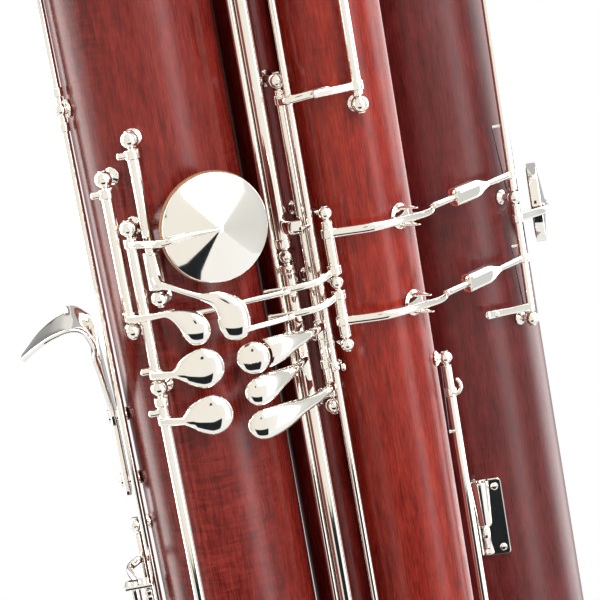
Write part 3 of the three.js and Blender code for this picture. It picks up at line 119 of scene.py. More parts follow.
LEFT = hinge_line(BASS, -68.7, 3.3, 0.75, 1.45, POST, 300, -108)
ROCKER = hinge_line(BASS, -78, 5.2, 0.75, 1.45, SMALL_POST, -72.5, -108)
OUTER = hinge_line(BASS, -31.6, 6, 1.1, 2.1, POST, 61.3, 6.2)
CUP = hinge_line(BASS, -21.3, 6.2, 1.1, 2.1, POST, 43.1, -15.3, -200)
INNER = hinge_line(BASS, -10.3, 6.4, 1.1, 2.1, POST, 74, 17.1)
VENT = hinge_line(WING, -12.3, 11, 0.65, 1.3, SMALL_POST, 225, -230)
THICK = hinge_line(WING, -1.7, 11.5, 1.4, 2.7, SLIM_HEAD, 225, 19.7, -230)
THUMB = hinge_line(WING, 14.1, 16.4, 0.9, 1.75, POST, 83.3, -37.5)
SLIM = hinge_line(WING, 16.5, 22, 0.65, 1.3, SMALL_POST, 165, -168)
CROSS = hinge_line(WING, 23.5, 26.8, 1.1, 2.1, SMALL_POST, 34.9, 9.5, -13.7)
BRIDGE = hinge_line(MIDDLE, 11.8, 5.9, 1.1, 1.75, POST, 215, 71.3)
LOW = hinge_line(MIDDLE, 77.1, 3.9, 0.75, 1.65, SMALL_POST, -29.5, -185)
SIDE = hinge_line(LONG, 42.2, 6.6, 0.75, 1.45, SMALL_POST, 190, 22.1, -25.2)

# The wing joint is a little fuller than in the source: no light shows between it and the bass joint
FULLER = 0.4
WING["radius"] += FULLER
for line in (VENT, THICK, THUMB, SLIM, CROSS):
    line["lift"] -= FULLER

COLLAR_STEP, COLLAR_HEIGHT = 0.6, 3.4
HALF_COLLAR = COLLAR_HEIGHT / 2
AXLE_ROOM = 0.26
STUB_REACH, STUB_RADIUS = 5.6, 1.35
ARM_THICK, ARM_WIDTH = 2.0, 3.2
SLIM_ARM = {"width": 2.9, "square": 3.0}
BUTTON = {"reach": 13.6, "front": 24.5, "radius": 5.6, "fuller": 0.4, "room": 1.3, "height": 3,
          "z": over_keys(-9.8)}

CUP_WALL, CUP_DECK, CUP_RIM, PAD_PROUD = 0.8, 2.4, 2.3, 1.5


def cup_shape(radius, cone, seat, rise, turn, opened):
    return {"radius": radius, "cone": cone, "seat": seat, "z": over_keys(rise), "turn": turn,
            "open": opened}


BIG_CUP = cup_shape(19.4, 0.27, 4.4, 39, 29, 9.6)
LOW_CUP = cup_shape(19, 0.27, 4.4, -160, 27, 9)
LEFT_CUP = cup_shape(19, 0.27, 4.4, 260, -30, 8)
THICK_CUP = cup_shape(11, 0.24, 2.2, -202, 47, 7)
HELPER_CUP = cup_shape(11, 0.24, 2.2, 165, 40, 0)
VENT_CUP = cup_shape(7, 0.2, 1.2, 205, 46, 6)
SLIM_CUP = cup_shape(6.5, 0.2, 1.6, 145, -28, 0)
BRIDGE_CUP = cup_shape(8, 0.2, 2, 185, -22, 0)
HIGH_SIDE_CUP = cup_shape(15.3, 0.12, 0.6, 165, 90, 7)
LOW_SIDE_CUP = cup_shape(15.3, 0.12, 0.6, 14, 90, 7)
DEEP_CUP = cup_shape(11, 0.24, 2, -160, -2, 0)
CHIMNEY_SHARE, HOLE_SHARE = 0.84, 0.52
THICK_SEAT = 1  # a cup on a higher seat than this has a tone-hole ring and a thick pad

BAR = {"drop": 2.9, "reach": 26.3, "overlap": 17.3, "behind": 5.4, "front": 9, "width": 2, "thick": 2,
       "lever_width": 2.6}
CROSS_ARM = {"lift": 6.9, "width": 3.6, "thick": 2.2, "tip": 9.3}
CROSS_TURNS = [2, 16, 33, 59]
FORK_GAP, FORK_TURN, FORK_RISE = 3.2, 55, 2.4
SLEEVE_BLOCK = {"width": 6.808, "thick": 4.6}
SIDE_ARM_RISE = 3.4
OVER_ARM = {"lift": 1.6, "rise": 8.5, "split": 15.5}
GUIDE = {"turn": 44, "foot": 4.8, "thick": 0.9, "gap": 5, "prong": 1.2, "width": 3.4, "reach": 9}
FERRULE = {"wall": 1.6, "height": 26}


# --- Surfaces: a list of corners in millimetres and the faces between them -----------------------
class Surface:
    def __init__(self, corners, faces):
        self.corners = np.asarray(corners, float)
        self.faces = faces


def placed(surface, matrix):
    corners = surface.corners @ matrix[:3, :3].T + matrix[:3, 3]
    return Surface(corners, surface.faces)


def place_matrix(across, up, outward, origin):
    matrix = np.eye(4)
    matrix[:3, 0], matrix[:3, 1], matrix[:3, 2], matrix[:3, 3] = across, up, outward, origin
    return matrix


def point(xy, z):
    return np.array([xy[0], xy[1], z], float)


def beside(tube, turn, lift, z):
    return point(tube["axis"] + toward(turn, radius_at(tube, z) + lift), z)


def on_tube(tube, turn, z, out):
    """A frame on the wood: +Z looks outward, +Y up, and its origin is `out` above the wood."""
    outward = point(toward(turn), 0)
    return place_matrix(np.cross(UP, outward), UP, outward, beside(tube, turn, out, z))


def shifted(matrix, x=0.0, y=0.0, z=0.0):
    result = matrix.copy()
    result[:3, 3] = matrix[:3, :3] @ np.array([x, y, z]) + matrix[:3, 3]
    return result


def moved(x, y, z):
    matrix = np.eye(4)
    matrix[:3, 3] = x, y, z
    return matrix


def standing(xy):
    return moved(xy[0], xy[1], 0)


def apply(matrix, xyz):
    return matrix[:3, :3] @ np.asarray(xyz, float) + matrix[:3, 3]


def along(start, end):
    """A frame whose +Z runs from start to end, and the distance between them."""
    start, end = np.asarray(start, float), np.asarray(end, float)
    way = end - start
    length = np.linalg.norm(way)
    way = way / length
    helper = UP if abs(way[2]) < 0.9 else SIDEWAYS
    across = np.cross(helper, way)
    across /= np.linalg.norm(across)
    return place_matrix(across, np.cross(way, across), way, start), length


def softened(profile, size):
    """The profile with each inner corner rounded by a short curve."""
    cuts = 3
    profile = [np.array(p, float) for p in profile]
    result = [profile[0]]
    for before, corner, after in zip(profile, profile[1:], profile[2:]):
        back, ahead_ = before - corner, after - corner
        length_back, length_ahead = np.linalg.norm(back), np.linalg.norm(ahead_)
        reach = min(size, length_back * 0.45, length_ahead * 0.45)
        if reach < 1e-4:
            result.append(corner)
            continue
        start = corner + back / length_back * reach
        end = corner + ahead_ / length_ahead * reach
        for i in range(cuts + 1):
            t = i / cuts
            result.append((1 - t) ** 2 * start + 2 * t * (1 - t) * corner + t ** 2 * end)
    result.append(profile[-1])
    return result


def lathe(profile, matrix=None, sides=48, soft=0.0, ring=False):
    """The profile of (radius, height) revolved about +Z. A ring's profile closes on itself."""
    if ring:
        profile = [*profile, profile[0]]
    if soft:
        profile = softened(profile, soft)
    corners, faces, rows = [], [], []
    angles = np.arange(sides) * (2 * math.pi / sides)
    for radius, height in profile:
        if radius < 1e-6:
            rows.append([len(corners)])
            corners.append((0.0, 0.0, height))
        else:
            rows.append(list(range(len(corners), len(corners) + sides)))
            corners.extend((radius * math.cos(a), radius * math.sin(a), height) for a in angles)
    if ring:
        rows[-1] = rows[0]
    for low, high in zip(rows, rows[1:]):
        for i in range(sides):
            k = (i + 1) % sides
            face = [low[i % len(low)], low[k % len(low)], high[k % len(high)], high[i % len(high)]]
            face = [c for j, c in enumerate(face) if c != face[j - 1]]
            if len(face) > 2:
                faces.append(face)
    surface = Surface(corners, faces)
    return surface if matrix is None else placed(surface, matrix)


def rod(start, end, radius, sides=32, soft=0.2):
    matrix, length = along(start, end)
    return lathe([(0, 0), (radius, 0), (radius, length), (0, length)], matrix, sides, soft)


def upright(xy, low, high, radius, sides=32, soft=0.2):
    return rod(point(xy, low), point(xy, high), radius, sides, soft)


def ball(centre, radius, sides=32):
    steps = sides // 2
    profile = [(radius * math.sin(math.pi * i / steps), -radius * math.cos(math.pi * i / steps))
               for i in range(steps + 1)]
    profile[0], profile[-1] = (0, -radius), (0, radius)
    return lathe(profile, moved(*centre), sides)


def strips(rows, sides):
    """The faces between rings of corners that follow each other."""
    faces = []
    for row in range(rows - 1):
        for i in range(sides):
            k = (i + 1) % sides
            faces.append([row * sides + i, row * sides + k, (row + 1) * sides + k, (row + 1) * sides + i])
    return faces


def slab(matrix, width, height, depth, soft=0.3, corner=None):
    """A box with rounded upright edges and softened faces, centred on the frame."""
    half = np.array([width, height, depth]) / 2
    soft = min(soft, *(half * 0.8))
    corner = corner or soft
    rings = ((-half[2], soft), (-half[2] + soft, 0), (half[2] - soft, 0), (half[2], soft))
    corners = []
    for level, inset in rings:
        radius = max(corner - inset, 0.02)
        for sx, sy, start in ((1, 1, 0), (-1, 1, 90), (-1, -1, 180), (1, -1, 270)):
            for angle in np.radians(start + np.linspace(0, 90, 5)):
                corners.append((sx * (half[0] - corner) + math.cos(angle) * radius,
                                sy * (half[1] - corner) + math.sin(angle) * radius, level))
    count = len(corners) // len(rings)
    ends = [list(range(count))[::-1], list(range(len(corners) - count, len(corners)))]
    return placed(Surface(corners, strips(len(rings), count) + ends), matrix)


# --- Smooth paths ---------------------------------------------------------------------------------
def path_point(points, t):
    """A centripetal Catmull-Rom curve through the points, t from 0 to 1."""
    count = len(points)
    place = t * (count - 1)
    index = min(int(place), count - 2)
    weight = place - index
    p1, p2 = points[index], points[index + 1]
    p0 = points[index - 1] if index > 0 else 2 * points[0] - points[1]
    p3 = points[index + 2] if index + 2 < count else 2 * points[-1] - points[-2]
    d0, d1, d2 = (max(np.linalg.norm(b - a) ** 0.5, 1e-4) for a, b in ((p0, p1), (p1, p2), (p2, p3)))
    m1 = ((p1 - p0) / d0 - (p2 - p0) / (d0 + d1) + (p2 - p1) / d1) * d1
    m2 = ((p2 - p1) / d1 - (p3 - p1) / (d1 + d2) + (p3 - p2) / d2) * d1
    c2 = -3 * p1 + 3 * p2 - 2 * m1 - m2
    c3 = 2 * p1 - 2 * p2 + m1 + m2
    return p1 + m1 * weight + c2 * weight ** 2 + c3 * weight ** 3


def share_at(shares, t):
    """A smooth value between the listed shares, with no overshoot."""
    place = t * (len(shares) - 1)
    index = min(int(place), len(shares) - 2)
    weight = place - index
    values = [shares[max(index - 1, 0)], shares[index], shares[index + 1],
              shares[min(index + 2, len(shares) - 1)]]
    slope1, slope2 = (values[2] - values[0]) / 2, (values[3] - values[1]) / 2
    a, b = values[1], values[2]
    result = (a + slope1 * weight + (3 * (b - a) - 2 * slope1 - slope2) * weight ** 2
              + (2 * (a - b) + slope1 + slope2) * weight ** 3)
    return min(max(result, min(shares)), max(shares))


def dome(length, from_start):
    """Stations (share of the path, scale, shift) that close an end of a limb."""
    steps = 7
    bends = [math.pi / 2 * i / steps for i in range(1, steps)]
    if from_start:
        return [(0.0, math.sin(b), -length * math.cos(b)) for b in bends]
    return [(1.0, math.cos(b), length * math.sin(b)) for b in bends]


def limb(points, width, thick, width_shares=(1, 1), thick_shares=(1, 1), across=UP, facing=None,
         steps=28, sides=24, crown=1.0, square=2.0, round_start=0.0, round_end=0.0, tail=None):
    """A section carried along a smooth path. `crown` raises its front over its back, `square` above 2
    makes it boxier, `round_start` and `round_end` close its ends by a dome of that length, and from
    `tail` on, a share of the path, the outline closes as an ellipse."""
    points = [np.asarray(p, float) for p in points]
    stations = [(i / steps * (tail or 1.0), 1.0, 0.0) for i in range(steps + 1)]
    if tail:
        bends = [math.pi / 2 * i / 18 for i in range(1, 19)]
        stations += [(tail + (1 - tail) * math.sin(b), max(math.cos(b), 0.03), 0.0) for b in bends]
    if round_start:
        stations = dome(round_start, True) + stations
    if round_end:
        stations += dome(round_end, False)
    corners = []
    for t, scale, shift in stations:
        centre = path_point(points, t)
        near, far = max(t - 1e-3, 0), min(t + 1e-3, 1)
        tangent = path_point(points, far) - path_point(points, near)
        tangent /= np.linalg.norm(tangent)
        centre = centre + tangent * shift
        if facing is None:
            side = across - tangent * np.dot(across, tangent)
        else:
            side = np.cross(facing, tangent)
        side = side / np.linalg.norm(side)
        face = np.cross(tangent, side)
        half_width = width * share_at(width_shares, t) / 2 * scale
        half_thick = thick * share_at(thick_shares, t) / 2 * scale
        for k in range(sides):
            angle = 2 * math.pi * (k + 0.5) / sides
            c, s = math.cos(angle), math.sin(angle)
            x = math.copysign(abs(c) ** (2 / square), c)
            y = math.copysign(abs(s) ** (2 / square), s)
            lift = crown if y > 0 else 2 - crown
            corners.append(centre + side * x * half_width + face * half_thick * (y * lift))
    faces = strips(len(stations), sides)
    first, last = len(corners), len(corners) - sides
    corners += [np.mean(corners[:sides], axis=0), np.mean(corners[last:], axis=0)]
    for i in range(sides):
        k = (i + 1) % sides
        faces += [[first, k, i], [first + 1, last + i, last + k]]
    return Surface(corners, faces)


def pipe(path, radii, sides=32, closed_ends=True):
    """A round tube through a list of points, with one radius or a radius for each."""
    path = [np.asarray(p, float) for p in path]
    radii = [radii] * len(path) if np.isscalar(radii) else radii
    corners = []
    normal = None
    for i, centre in enumerate(path):
        tangent = path[min(i + 1, len(path) - 1)] - path[max(i - 1, 0)]
        tangent = tangent / np.linalg.norm(tangent)
        if normal is None:
            normal = np.cross(tangent, UP if abs(tangent[2]) < 0.9 else SIDEWAYS)
        normal = normal - tangent * np.dot(normal, tangent)
        normal /= np.linalg.norm(normal)
        other = np.cross(tangent, normal)
        for k in range(sides):
            angle = 2 * math.pi * k / sides
            corners.append(centre + (normal * math.cos(angle) + other * math.sin(angle)) * radii[i])
    faces = strips(len(path), sides)
    if closed_ends:
        faces += [list(range(sides))[::-1], list(range(len(corners) - sides, len(corners)))]
    return Surface(corners, faces)


# --- Blender objects ------------------------------------------------------------------------------
def flat(surfaces):
    for item in surfaces:
        if isinstance(item, Surface):
            yield item
        else:
            yield from flat(item)


def mesh_object(name, surfaces, sharp=34.0):
    corners, faces, start = [], [], 0
    for surface in flat(surfaces):
        corners.append(surface.corners)
        faces.extend([c + start for c in face] for face in surface.faces)
        start += len(surface.corners)
    mesh = bpy.data.meshes.new(name)
    mesh.from_pydata((np.vstack(corners) * MM).tolist(), [], faces)
    clean(mesh)
    smooth(mesh, sharp)
    made = bpy.data.objects.new(name, mesh)
    bpy.context.scene.collection.objects.link(made)
    return made


def clean(mesh):
    work = bmesh.new()
    work.from_mesh(mesh)
    bmesh.ops.remove_doubles(work, verts=work.verts, dist=1e-7)
    bmesh.ops.recalc_face_normals(work, faces=work.faces)
    work.to_mesh(mesh)
    work.free()


def smooth(mesh, sharp):
    mesh.polygons.foreach_set("use_smooth", [True] * len(mesh.polygons))
    mesh.set_sharp_from_angle(angle=math.radians(sharp))


def settle(made):
    """Put the result of an object's modifiers in its mesh."""
    depsgraph = bpy.context.evaluated_depsgraph_get()
    mesh = bpy.data.meshes.new_from_object(made.evaluated_get(depsgraph))
    made.modifiers.clear()
    old, made.data = made.data, mesh
    bpy.data.meshes.remove(old)


def carved(base, cutters, operation="DIFFERENCE"):
    """The base object cut by, or joined with, each cutter, which is then removed."""
    for cutter in cutters:
        modifier = base.modifiers.new("cut", "BOOLEAN")
        modifier.operation = operation
        modifier.solver = "EXACT"
        modifier.object = cutter
    settle(base)
    for cutter in cutters:
        bpy.data.objects.remove(cutter)
    return base


def dress(made, body, slot, material, *nodes):
    made.data.materials.clear()
    made.data.materials.append(material)
    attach(made, body)
    if nodes:
        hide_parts(*nodes)
    return made


def piece(name, body, slot, material, surfaces, *nodes, sharp=34.0):
    return dress(mesh_object(name, surfaces, sharp), body, slot, material, *nodes)


def fitting(name, surfaces, *nodes, material=None):
    """A metal piece that stays on the instrument."""
    return piece(name, "instrument", "silver", material or SILVER, surfaces, *nodes)


# --- Materials ------------------------------------------------------------------------------------
class Nodes:
    """The nodes of a material or a world, made and linked in short calls."""

    def __init__(self, owner, fresh=False):
        owner.use_nodes = True
        self.owner, self.tree = owner, owner.node_tree
        if fresh:
            self.tree.nodes.clear()
        self.shader = self.tree.nodes.get("Principled BSDF")
        self.place = self.add("TexCoord").outputs

    def add(self, kind, inputs=None, **settings):
        node = self.tree.nodes.new("ShaderNode" + kind)
        for key, value in settings.items():
            setattr(node, key, value)
        for key, value in (inputs or {}).items():
            self.feed(node.inputs[key], value)
        return node

    def feed(self, socket, value):
        if isinstance(value, bpy.types.NodeSocket):
            self.tree.links.new(value, socket)
        else:
            socket.default_value = value

    def noise(self, scale, detail=2.0, rough=0.5, distort=0.0, shift=(0, 0, 0)):
        """Noise in the object's own space, with a scale for each axis."""
        spread = self.add("Mapping", {"Vector": self.place["Object"], "Scale": scale, "Location": shift})
        return self.add("TexNoise", {"Vector": spread.outputs["Vector"], "Scale": 1.0, "Detail": detail,
                                     "Roughness": rough, "Distortion": distort}).outputs["Fac"]

    def ramp(self, value, *stops):
        node = self.add("ValToRGB", {"Fac": value})
        elements = node.color_ramp.elements
        while len(elements) < len(stops):
            elements.new(0.5)
        for element, (place, colour) in zip(elements, stops):
            element.position, element.color = place, (*colour, 1)
        return node.outputs["Color"]

    def span(self, value, low, high, to_low, to_high):
        return self.add("MapRange", {"Value": value, "From Min": low, "From Max": high, "To Min": to_low,
                                     "To Max": to_high}).outputs["Result"]

    def math(self, operation, *values):
        return self.add("Math", dict(enumerate(values)), operation=operation).outputs["Value"]

    def total(self, *pairs):
        """The sum of values, each with a weight."""
        result, *rest = [self.math("MULTIPLY", value, weight) for value, weight in pairs]
        for term in rest:
            result = self.math("ADD", result, term)
        return result

    def mix(self, factor, first, second, blend="MIX"):
        node = self.add("Mix", {"Factor": factor}, data_type="RGBA", blend_type=blend)
        for socket, value in zip([s for s in node.inputs if s.type == "RGBA"], (first, second)):
            self.feed(socket, value)
        return next(s for s in node.outputs if s.type == "RGBA")

    def shade(self, factor, first, second):
        return self.add("MixShader", {0: factor, 1: first.outputs[0], 2: second.outputs[0]})

    def rays(self):
        """Whether a ray is the camera's, and whether gloss or glass sent it."""
        path = self.add("LightPath").outputs
        return path["Is Camera Ray"], self.math("MAXIMUM", path["Is Glossy Ray"],
                                                path["Is Transmission Ray"])

    def bump(self, height, strength, distance):
        node = self.add("Bump", {"Height": height, "Strength": strength, "Distance": distance})
        self.feed(self.shader.inputs["Normal"], node.outputs["Normal"])

    def set(self, **values):
        for key, value in values.items():
            self.feed(self.shader.inputs[key.replace("_", " ")], value)


def wood(name, dark, middle, light, seed, curl=0.5, fleck=0.0, rough=0.27):
    """Stained maple: fine fibres, streaks, cross ripples where the grain curls, and a satin lacquer."""
    n = Nodes(bpy.data.materials.new(name))
    shift = (seed * 1.7, seed * 0.9, seed * 2.3)
    fibre = n.noise((2400, 2400, 120), 3.0, 0.6, 0.0, shift)
    pores = n.noise((1500, 1500, 60), 2.0, 0.5, 0.6, shift)
    streak = n.noise((640, 640, 150), 4.0, 0.65, 0.8, shift)
    broad = n.noise((150, 150, 52), 4.0, 0.55, 0.6, shift)
    long = n.noise((380, 380, 9), 2.0, 0.5, 0.0, shift)
    ripple = n.noise((120, 120, 760), 2.0, 0.45, 1.0, shift)
    where = n.span(n.noise((34, 34, 12), 1.0, shift=(seed, 0, seed)), 0.44, 0.62, 0.0, 1.0)
    rippled = n.math("MULTIPLY", n.math("SUBTRACT", ripple, 0.5), n.math("MULTIPLY", where, curl))
    tone = n.total((streak, 0.42), (broad, 0.38), (long, 0.2), (n.math("SUBTRACT", fibre, 0.5), 0.4),
                   (rippled, 0.55))
    colour = n.ramp(tone, (0.36, dark), (0.5, middle), (0.66, light))
    deep = n.span(pores, 0.3, 0.42, 0.7, 1.0)
    colour = n.mix(1.0, colour, n.ramp(deep, (0.0, (0, 0, 0)), (1.0, (1, 1, 1))), "MULTIPLY")
    if fleck:
        spark = n.noise((700, 700, 38), 3.0, 0.6, 1.2, (seed * 3, 1, 2))
        colour = n.mix(n.span(spark, 0.58, 0.72, 0.0, fleck), colour, (0.52, 0.075, 0.028, 1))
    n.set(Base_Color=colour, Roughness=n.span(fibre, 0.3, 0.7, rough - 0.05, rough + 0.06))
    n.set(Specular_IOR_Level=0.4)
    n.bump(n.total((fibre, 0.4), (rippled, 1.4), (pores, 0.25)), 0.3, 0.00005)
    return n.owner


def metal(name, colour, rough, smear=0.03):
    """Bright plate: faint polishing marks, slightly warmer and duller in patches."""
    n = Nodes(bpy.data.materials.new(name))
    patch = n.noise((60, 60, 40), 3.0, 0.55)
    marks = n.noise((900, 900, 2600), 2.0, 0.6)
    warm = tuple(c * w for c, w in zip(colour, (0.985, 0.955, 0.9)))
    n.set(Base_Color=n.ramp(patch, (0.35, colour), (0.72, warm)), Metallic=1.0)
    n.set(Roughness=n.math("ADD", n.span(patch, 0.3, 0.75, rough, rough + smear),
                           n.span(marks, 0.35, 0.7, 0.0, smear * 0.6)))
    n.bump(marks, 0.05, 0.00001)
    return n.owner


def leather(name):
    n = Nodes(bpy.data.materials.new(name))
    grain, stain = n.noise((1500,) * 3, 3.0, 0.6), n.noise((140,) * 3)
    n.set(Base_Color=n.ramp(n.total((grain, 0.4), (stain, 0.6)), (0.3, (0.33, 0.14, 0.055)),
                            (0.55, (0.56, 0.27, 0.12)), (0.75, (0.68, 0.38, 0.2))))
    n.set(Roughness=n.span(grain, 0.3, 0.7, 0.5, 0.75), Sheen_Weight=0.25, Sheen_Roughness=0.4)
    n.bump(grain, 0.5, 0.0001)
    return n.owner


def rubber(name):
    n = Nodes(bpy.data.materials.new(name))
    grain = n.noise((900,) * 3, 4.0, 0.65)
    n.set(Base_Color=n.ramp(grain, (0.3, (0.010, 0.010, 0.011)), (0.7, (0.028, 0.028, 0.029))))
    n.set(Roughness=n.span(grain, 0.3, 0.7, 0.6, 0.85))
    n.bump(grain, 0.4, 0.00015)
    return n.owner


SILVER = metal("silver_plate", (0.94, 0.925, 0.885), 0.045, 0.02)
STEEL = metal("drawn_steel", (0.62, 0.62, 0.63), 0.2, 0.08)
# Dark blued steel for the needle springs. The same dark colour on the screw slots is painted shade: a dark
# strip standing for the shadow inside a cut slot.
DARK_BLUED_AND_SLOT_SHADE = metal("blued_spring_and_slot_shade", (0.10, 0.09, 0.10), 0.22, 0.05)
PAD = leather("pad_leather")
RUBBER = rubber("tip_rubber")
BASS_WOOD = wood("bass_wood", (0.125, 0.009, 0.007), (0.225, 0.018, 0.012), (0.330, 0.034, 0.024), 1.0, 1.0)
WING_WOOD = wood("wing_wood", (0.080, 0.006, 0.005), (0.150, 0.011, 0.008), (0.230, 0.022, 0.016), 2.0, 0.3)
MIDDLE_WOOD = wood("middle_wood", (0.170, 0.011, 0.007), (0.310, 0.020, 0.011), (0.440, 0.042, 0.020),
                   3.0, 0.3, fleck=0.4)
LONG_WOOD = wood("long_wood", (0.074, 0.008, 0.0075), (0.126, 0.014, 0.013), (0.182, 0.024, 0.023),
                 4.0, 0.5, rough=0.3)
BELL_WOOD = wood("bell_wood", (0.125, 0.009, 0.007), (0.215, 0.017, 0.012), (0.320, 0.033, 0.023), 5.0, 0.9)

# --- Wooden joints --------------------------------------------------------------------------------
CUPS_ON = [
    (BASS, (BIG_CUP, LOW_CUP, LEFT_CUP, THICK_CUP, HELPER_CUP, VENT_CUP)),
    (MIDDLE, (SLIM_CUP, BRIDGE_CUP)),
    (LONG, (HIGH_SIDE_CUP, LOW_SIDE_CUP, DEEP_CUP)),
]


def tone_hole(tube, cup, matrix):
    """The raised ring round a cup's hole."""
    hole, outer, seat = cup["radius"] * HOLE_SHARE, cup["radius"] * CHIMNEY_SHARE, cup["seat"]
    depth = seat + tube["radius"] - math.sqrt(tube["radius"] ** 2 - outer ** 2) + tube["wall"] / 4
    return lathe([(hole, -depth), (outer + seat * 0.5, -depth), (outer, -seat * 0.35), (outer, 0),
                  (outer - 1.2, 0), (outer - 1.8, -0.35), (hole, -0.35)], matrix, 96, 0.35, True)


def wooden_joint(name, tube, material):
    low, high, wall = tube["bottom"], tube["top"], tube["wall"]
    at_low, at_high = radius_at(tube, low), radius_at(tube, high)
    outline = [(at_low - wall, low), (at_low, low), (at_high, high), (at_high - wall, high)]
    made = mesh_object(name + "_wood", [lathe(outline, standing(tube["axis"]), 192, 0.5, True)])
    wells, rings = [], []
    for i, cup in enumerate(cup for owner, group in CUPS_ON if owner is tube for cup in group):
        matrix = on_tube(tube, cup["turn"], cup["z"], cup["seat"])
        hole, deep = cup["radius"] * HOLE_SHARE, -tube["radius"]
        well = lathe([(0, deep), (hole, deep), (hole, 2), (0, 2)], matrix, 64)
        wells.append(mesh_object(f"well_{i}", [well]))
        if cup["seat"] > THICK_SEAT:
            rings.append(tone_hole(tube, cup, matrix))
    if wells:
        carved(made, wells)
    smooth(made.data, 30)
    dress(made, "instrument", "wood", material, name + "_joint")
    if rings:
        piece(name + "_tone_holes", "instrument", "wood", material, rings)


wooden_joint("bass", BASS, BASS_WOOD)
wooden_joint("wing", WING, WING_WOOD)
wooden_joint("middle", MIDDLE, MIDDLE_WOOD)
wooden_joint("long", LONG, LONG_WOOD)


# --- Posts, axles, hinge tubes --------------------------------------------------------------------
def one_post(line, z, shape):
    """A foot flange on the wood, a waisted stem and a ball."""
    matrix = on_tube(line["tube"], line["turn"], z, 0)
    reach = line["tube"]["radius"] + line["lift"] - radius_at(line["tube"], z)
    foot, waist, radius, step = shape["foot"], shape["waist"], shape["ball"], shape["foot_height"]
    low, neck = CLEAR - 0.25, reach - radius * 0.9
    profile = [(0, low), (foot, low), (foot, low + step * 0.8), (foot * 0.82, low + step * 1.15)]
    if neck > low + 2 * step:
        profile += [(waist * 1.25, low + 2 * step), (waist, (low + 2 * step + neck) / 2),
                    (waist * 1.3, neck)]
    else:
        profile += [(waist * 1.5, max(neck, low + step * 1.2))]
    profile += [(0, profile[-1][1] + 0.01)]
    return [lathe(profile, matrix, 40, 0.22), ball(apply(matrix, (0, 0, reach)), radius, 40)]


def screw_end(line, z, up):
    """The slotted head of the pivot screw, let into the ball, with a dark strip painted as the shade in its
    slot.
    """
    (x, y), out, radius = line["at"], line["post"]["ball"] * 0.9, line["post"]["ball"] * 0.46
    # The groove is a dark strip a little proud of the head: painted shade for the shadow in the screw's
    # slot.
    groove = slab(moved(x, y, z + up * (out + 0.17)), radius * 2.1, 0.34, 0.4, 0.02)
    return rod((x, y, z + up * out * 0.6), (x, y, z + up * (out + 0.25)), radius, 24, 0.12), groove


def axle_set(name, lines, *nodes):
    """The axles, posts and pivot screws of one or two hinge lines, with dark strips painted as the shade in
    the screws' slots.
    """
    metalwork, screw_slot_shades = [], []
    for line in lines:
        heights = line["posts"]
        metalwork.append(upright(line["at"], min(heights), max(heights), line["axle"], 20))
        metalwork += [one_post(line, z, line["post"]) for z in heights]
        for z, up in ((heights[0], 1), (heights[-1], -1)):
            head, groove = screw_end(line, z, up)
            metalwork.append(head)
            screw_slot_shades.append(groove)
    fitting(name + "_posts", metalwork, *nodes)
    # The slot strips take the dark material as painted shade.
    fitting(name + "_slots", screw_slot_shades, material=DARK_BLUED_AND_SLOT_SHADE)


axle_set("low_d", [INNER], "low_d_axle")
axle_set("low_e_flat", [OUTER], "low_e_flat_axle")
axle_set("low_c", [CUP], "low_c_axle")
axle_set("low_b_flat", [LEFT, ROCKER], "low_b_flat_axle")
axle_set("wing", [THICK, VENT], "low_c_sharp_axle")
axle_set("thumb", [THUMB], "thumb_axle")
axle_set("f_sharp", [SLIM], "f_sharp_axle")
axle_set("cross", [CROSS], "cross_lever_axle")
axle_set("side", [SIDE], "side_axle")
axle_set("high_octave", [BRIDGE], "high_octave_axle")
axle_set("vent_low", [LOW], "b_flat_vent_axle")
fitting("left_guide_post", [one_post(LEFT, GUIDE_LEVEL, GUIDE_POST)], "low_b_flat_guide_post")


def ahead(line, x, y, z):
    return np.array([line["at"][0] + x, line["at"][1] + y, z], float)


def sleeve_ends(line, first=0):
    """The top and the bottom of a hinge tube between two neighbouring posts."""
    high, low = line["posts"][first:first + 2]
    return high - line["post"]["ball"] - CLEAR, low + line["post"]["ball"] + CLEAR


def hinge_tube(line, ends, step=0, room=AXLE_ROOM):
    """A key's tube with softened ends and a fine groove near each."""
    inner, outer = line["axle"] + room, line["outer"] + step
    low, high = ends[1], ends[0]
    deep = outer - 0.12
    profile = [(inner, low), (outer, low), (outer, low + 0.7), (deep, low + 0.85), (outer, low + 1.0),
               (outer, high - 1.0), (deep, high - 0.85), (outer, high - 0.7), (outer, high), (inner, high)]
    return lathe(profile, standing(line["at"]), 40, 0.1, True)


def collar(line, z, height=COLLAR_HEIGHT, step=COLLAR_STEP, base=0):
    outer = line["outer"] + base
    radius = outer + step
    low, high = z - height / 2, z + height / 2
    profile = [(outer - 0.2, low), (radius - 0.15, low), (radius, low + 0.35), (radius, high - 0.35),
               (radius - 0.15, high), (outer - 0.2, high)]
    return lathe(profile, standing(line["at"]), 40, 0.16, True)


def end_collars(line, ends):
    return [collar(line, z) for z in (ends[0] - HALF_COLLAR, ends[1] + HALF_COLLAR)]


def side_stub(line, z):
    """The short stub opposite a touch, with a rounded end."""
    points = [ahead(line, x, 0, z) for x in (0.5, -STUB_REACH * 0.5, -STUB_REACH + 0.9)]
    return limb(points, 2 * STUB_RADIUS, 2 * STUB_RADIUS, round_end=0.9, square=2.4)


def arm_of(points, width=ARM_WIDTH, thick=ARM_THICK, square=2.7):
    return limb(points, width, thick, square=square, round_start=0.3, round_end=0.3)


# --- Touches --------------------------------------------------------------------------------------
SPOON_THICK = [0.5, 0.5, 0.55, 0.8, 1, 1, 1]


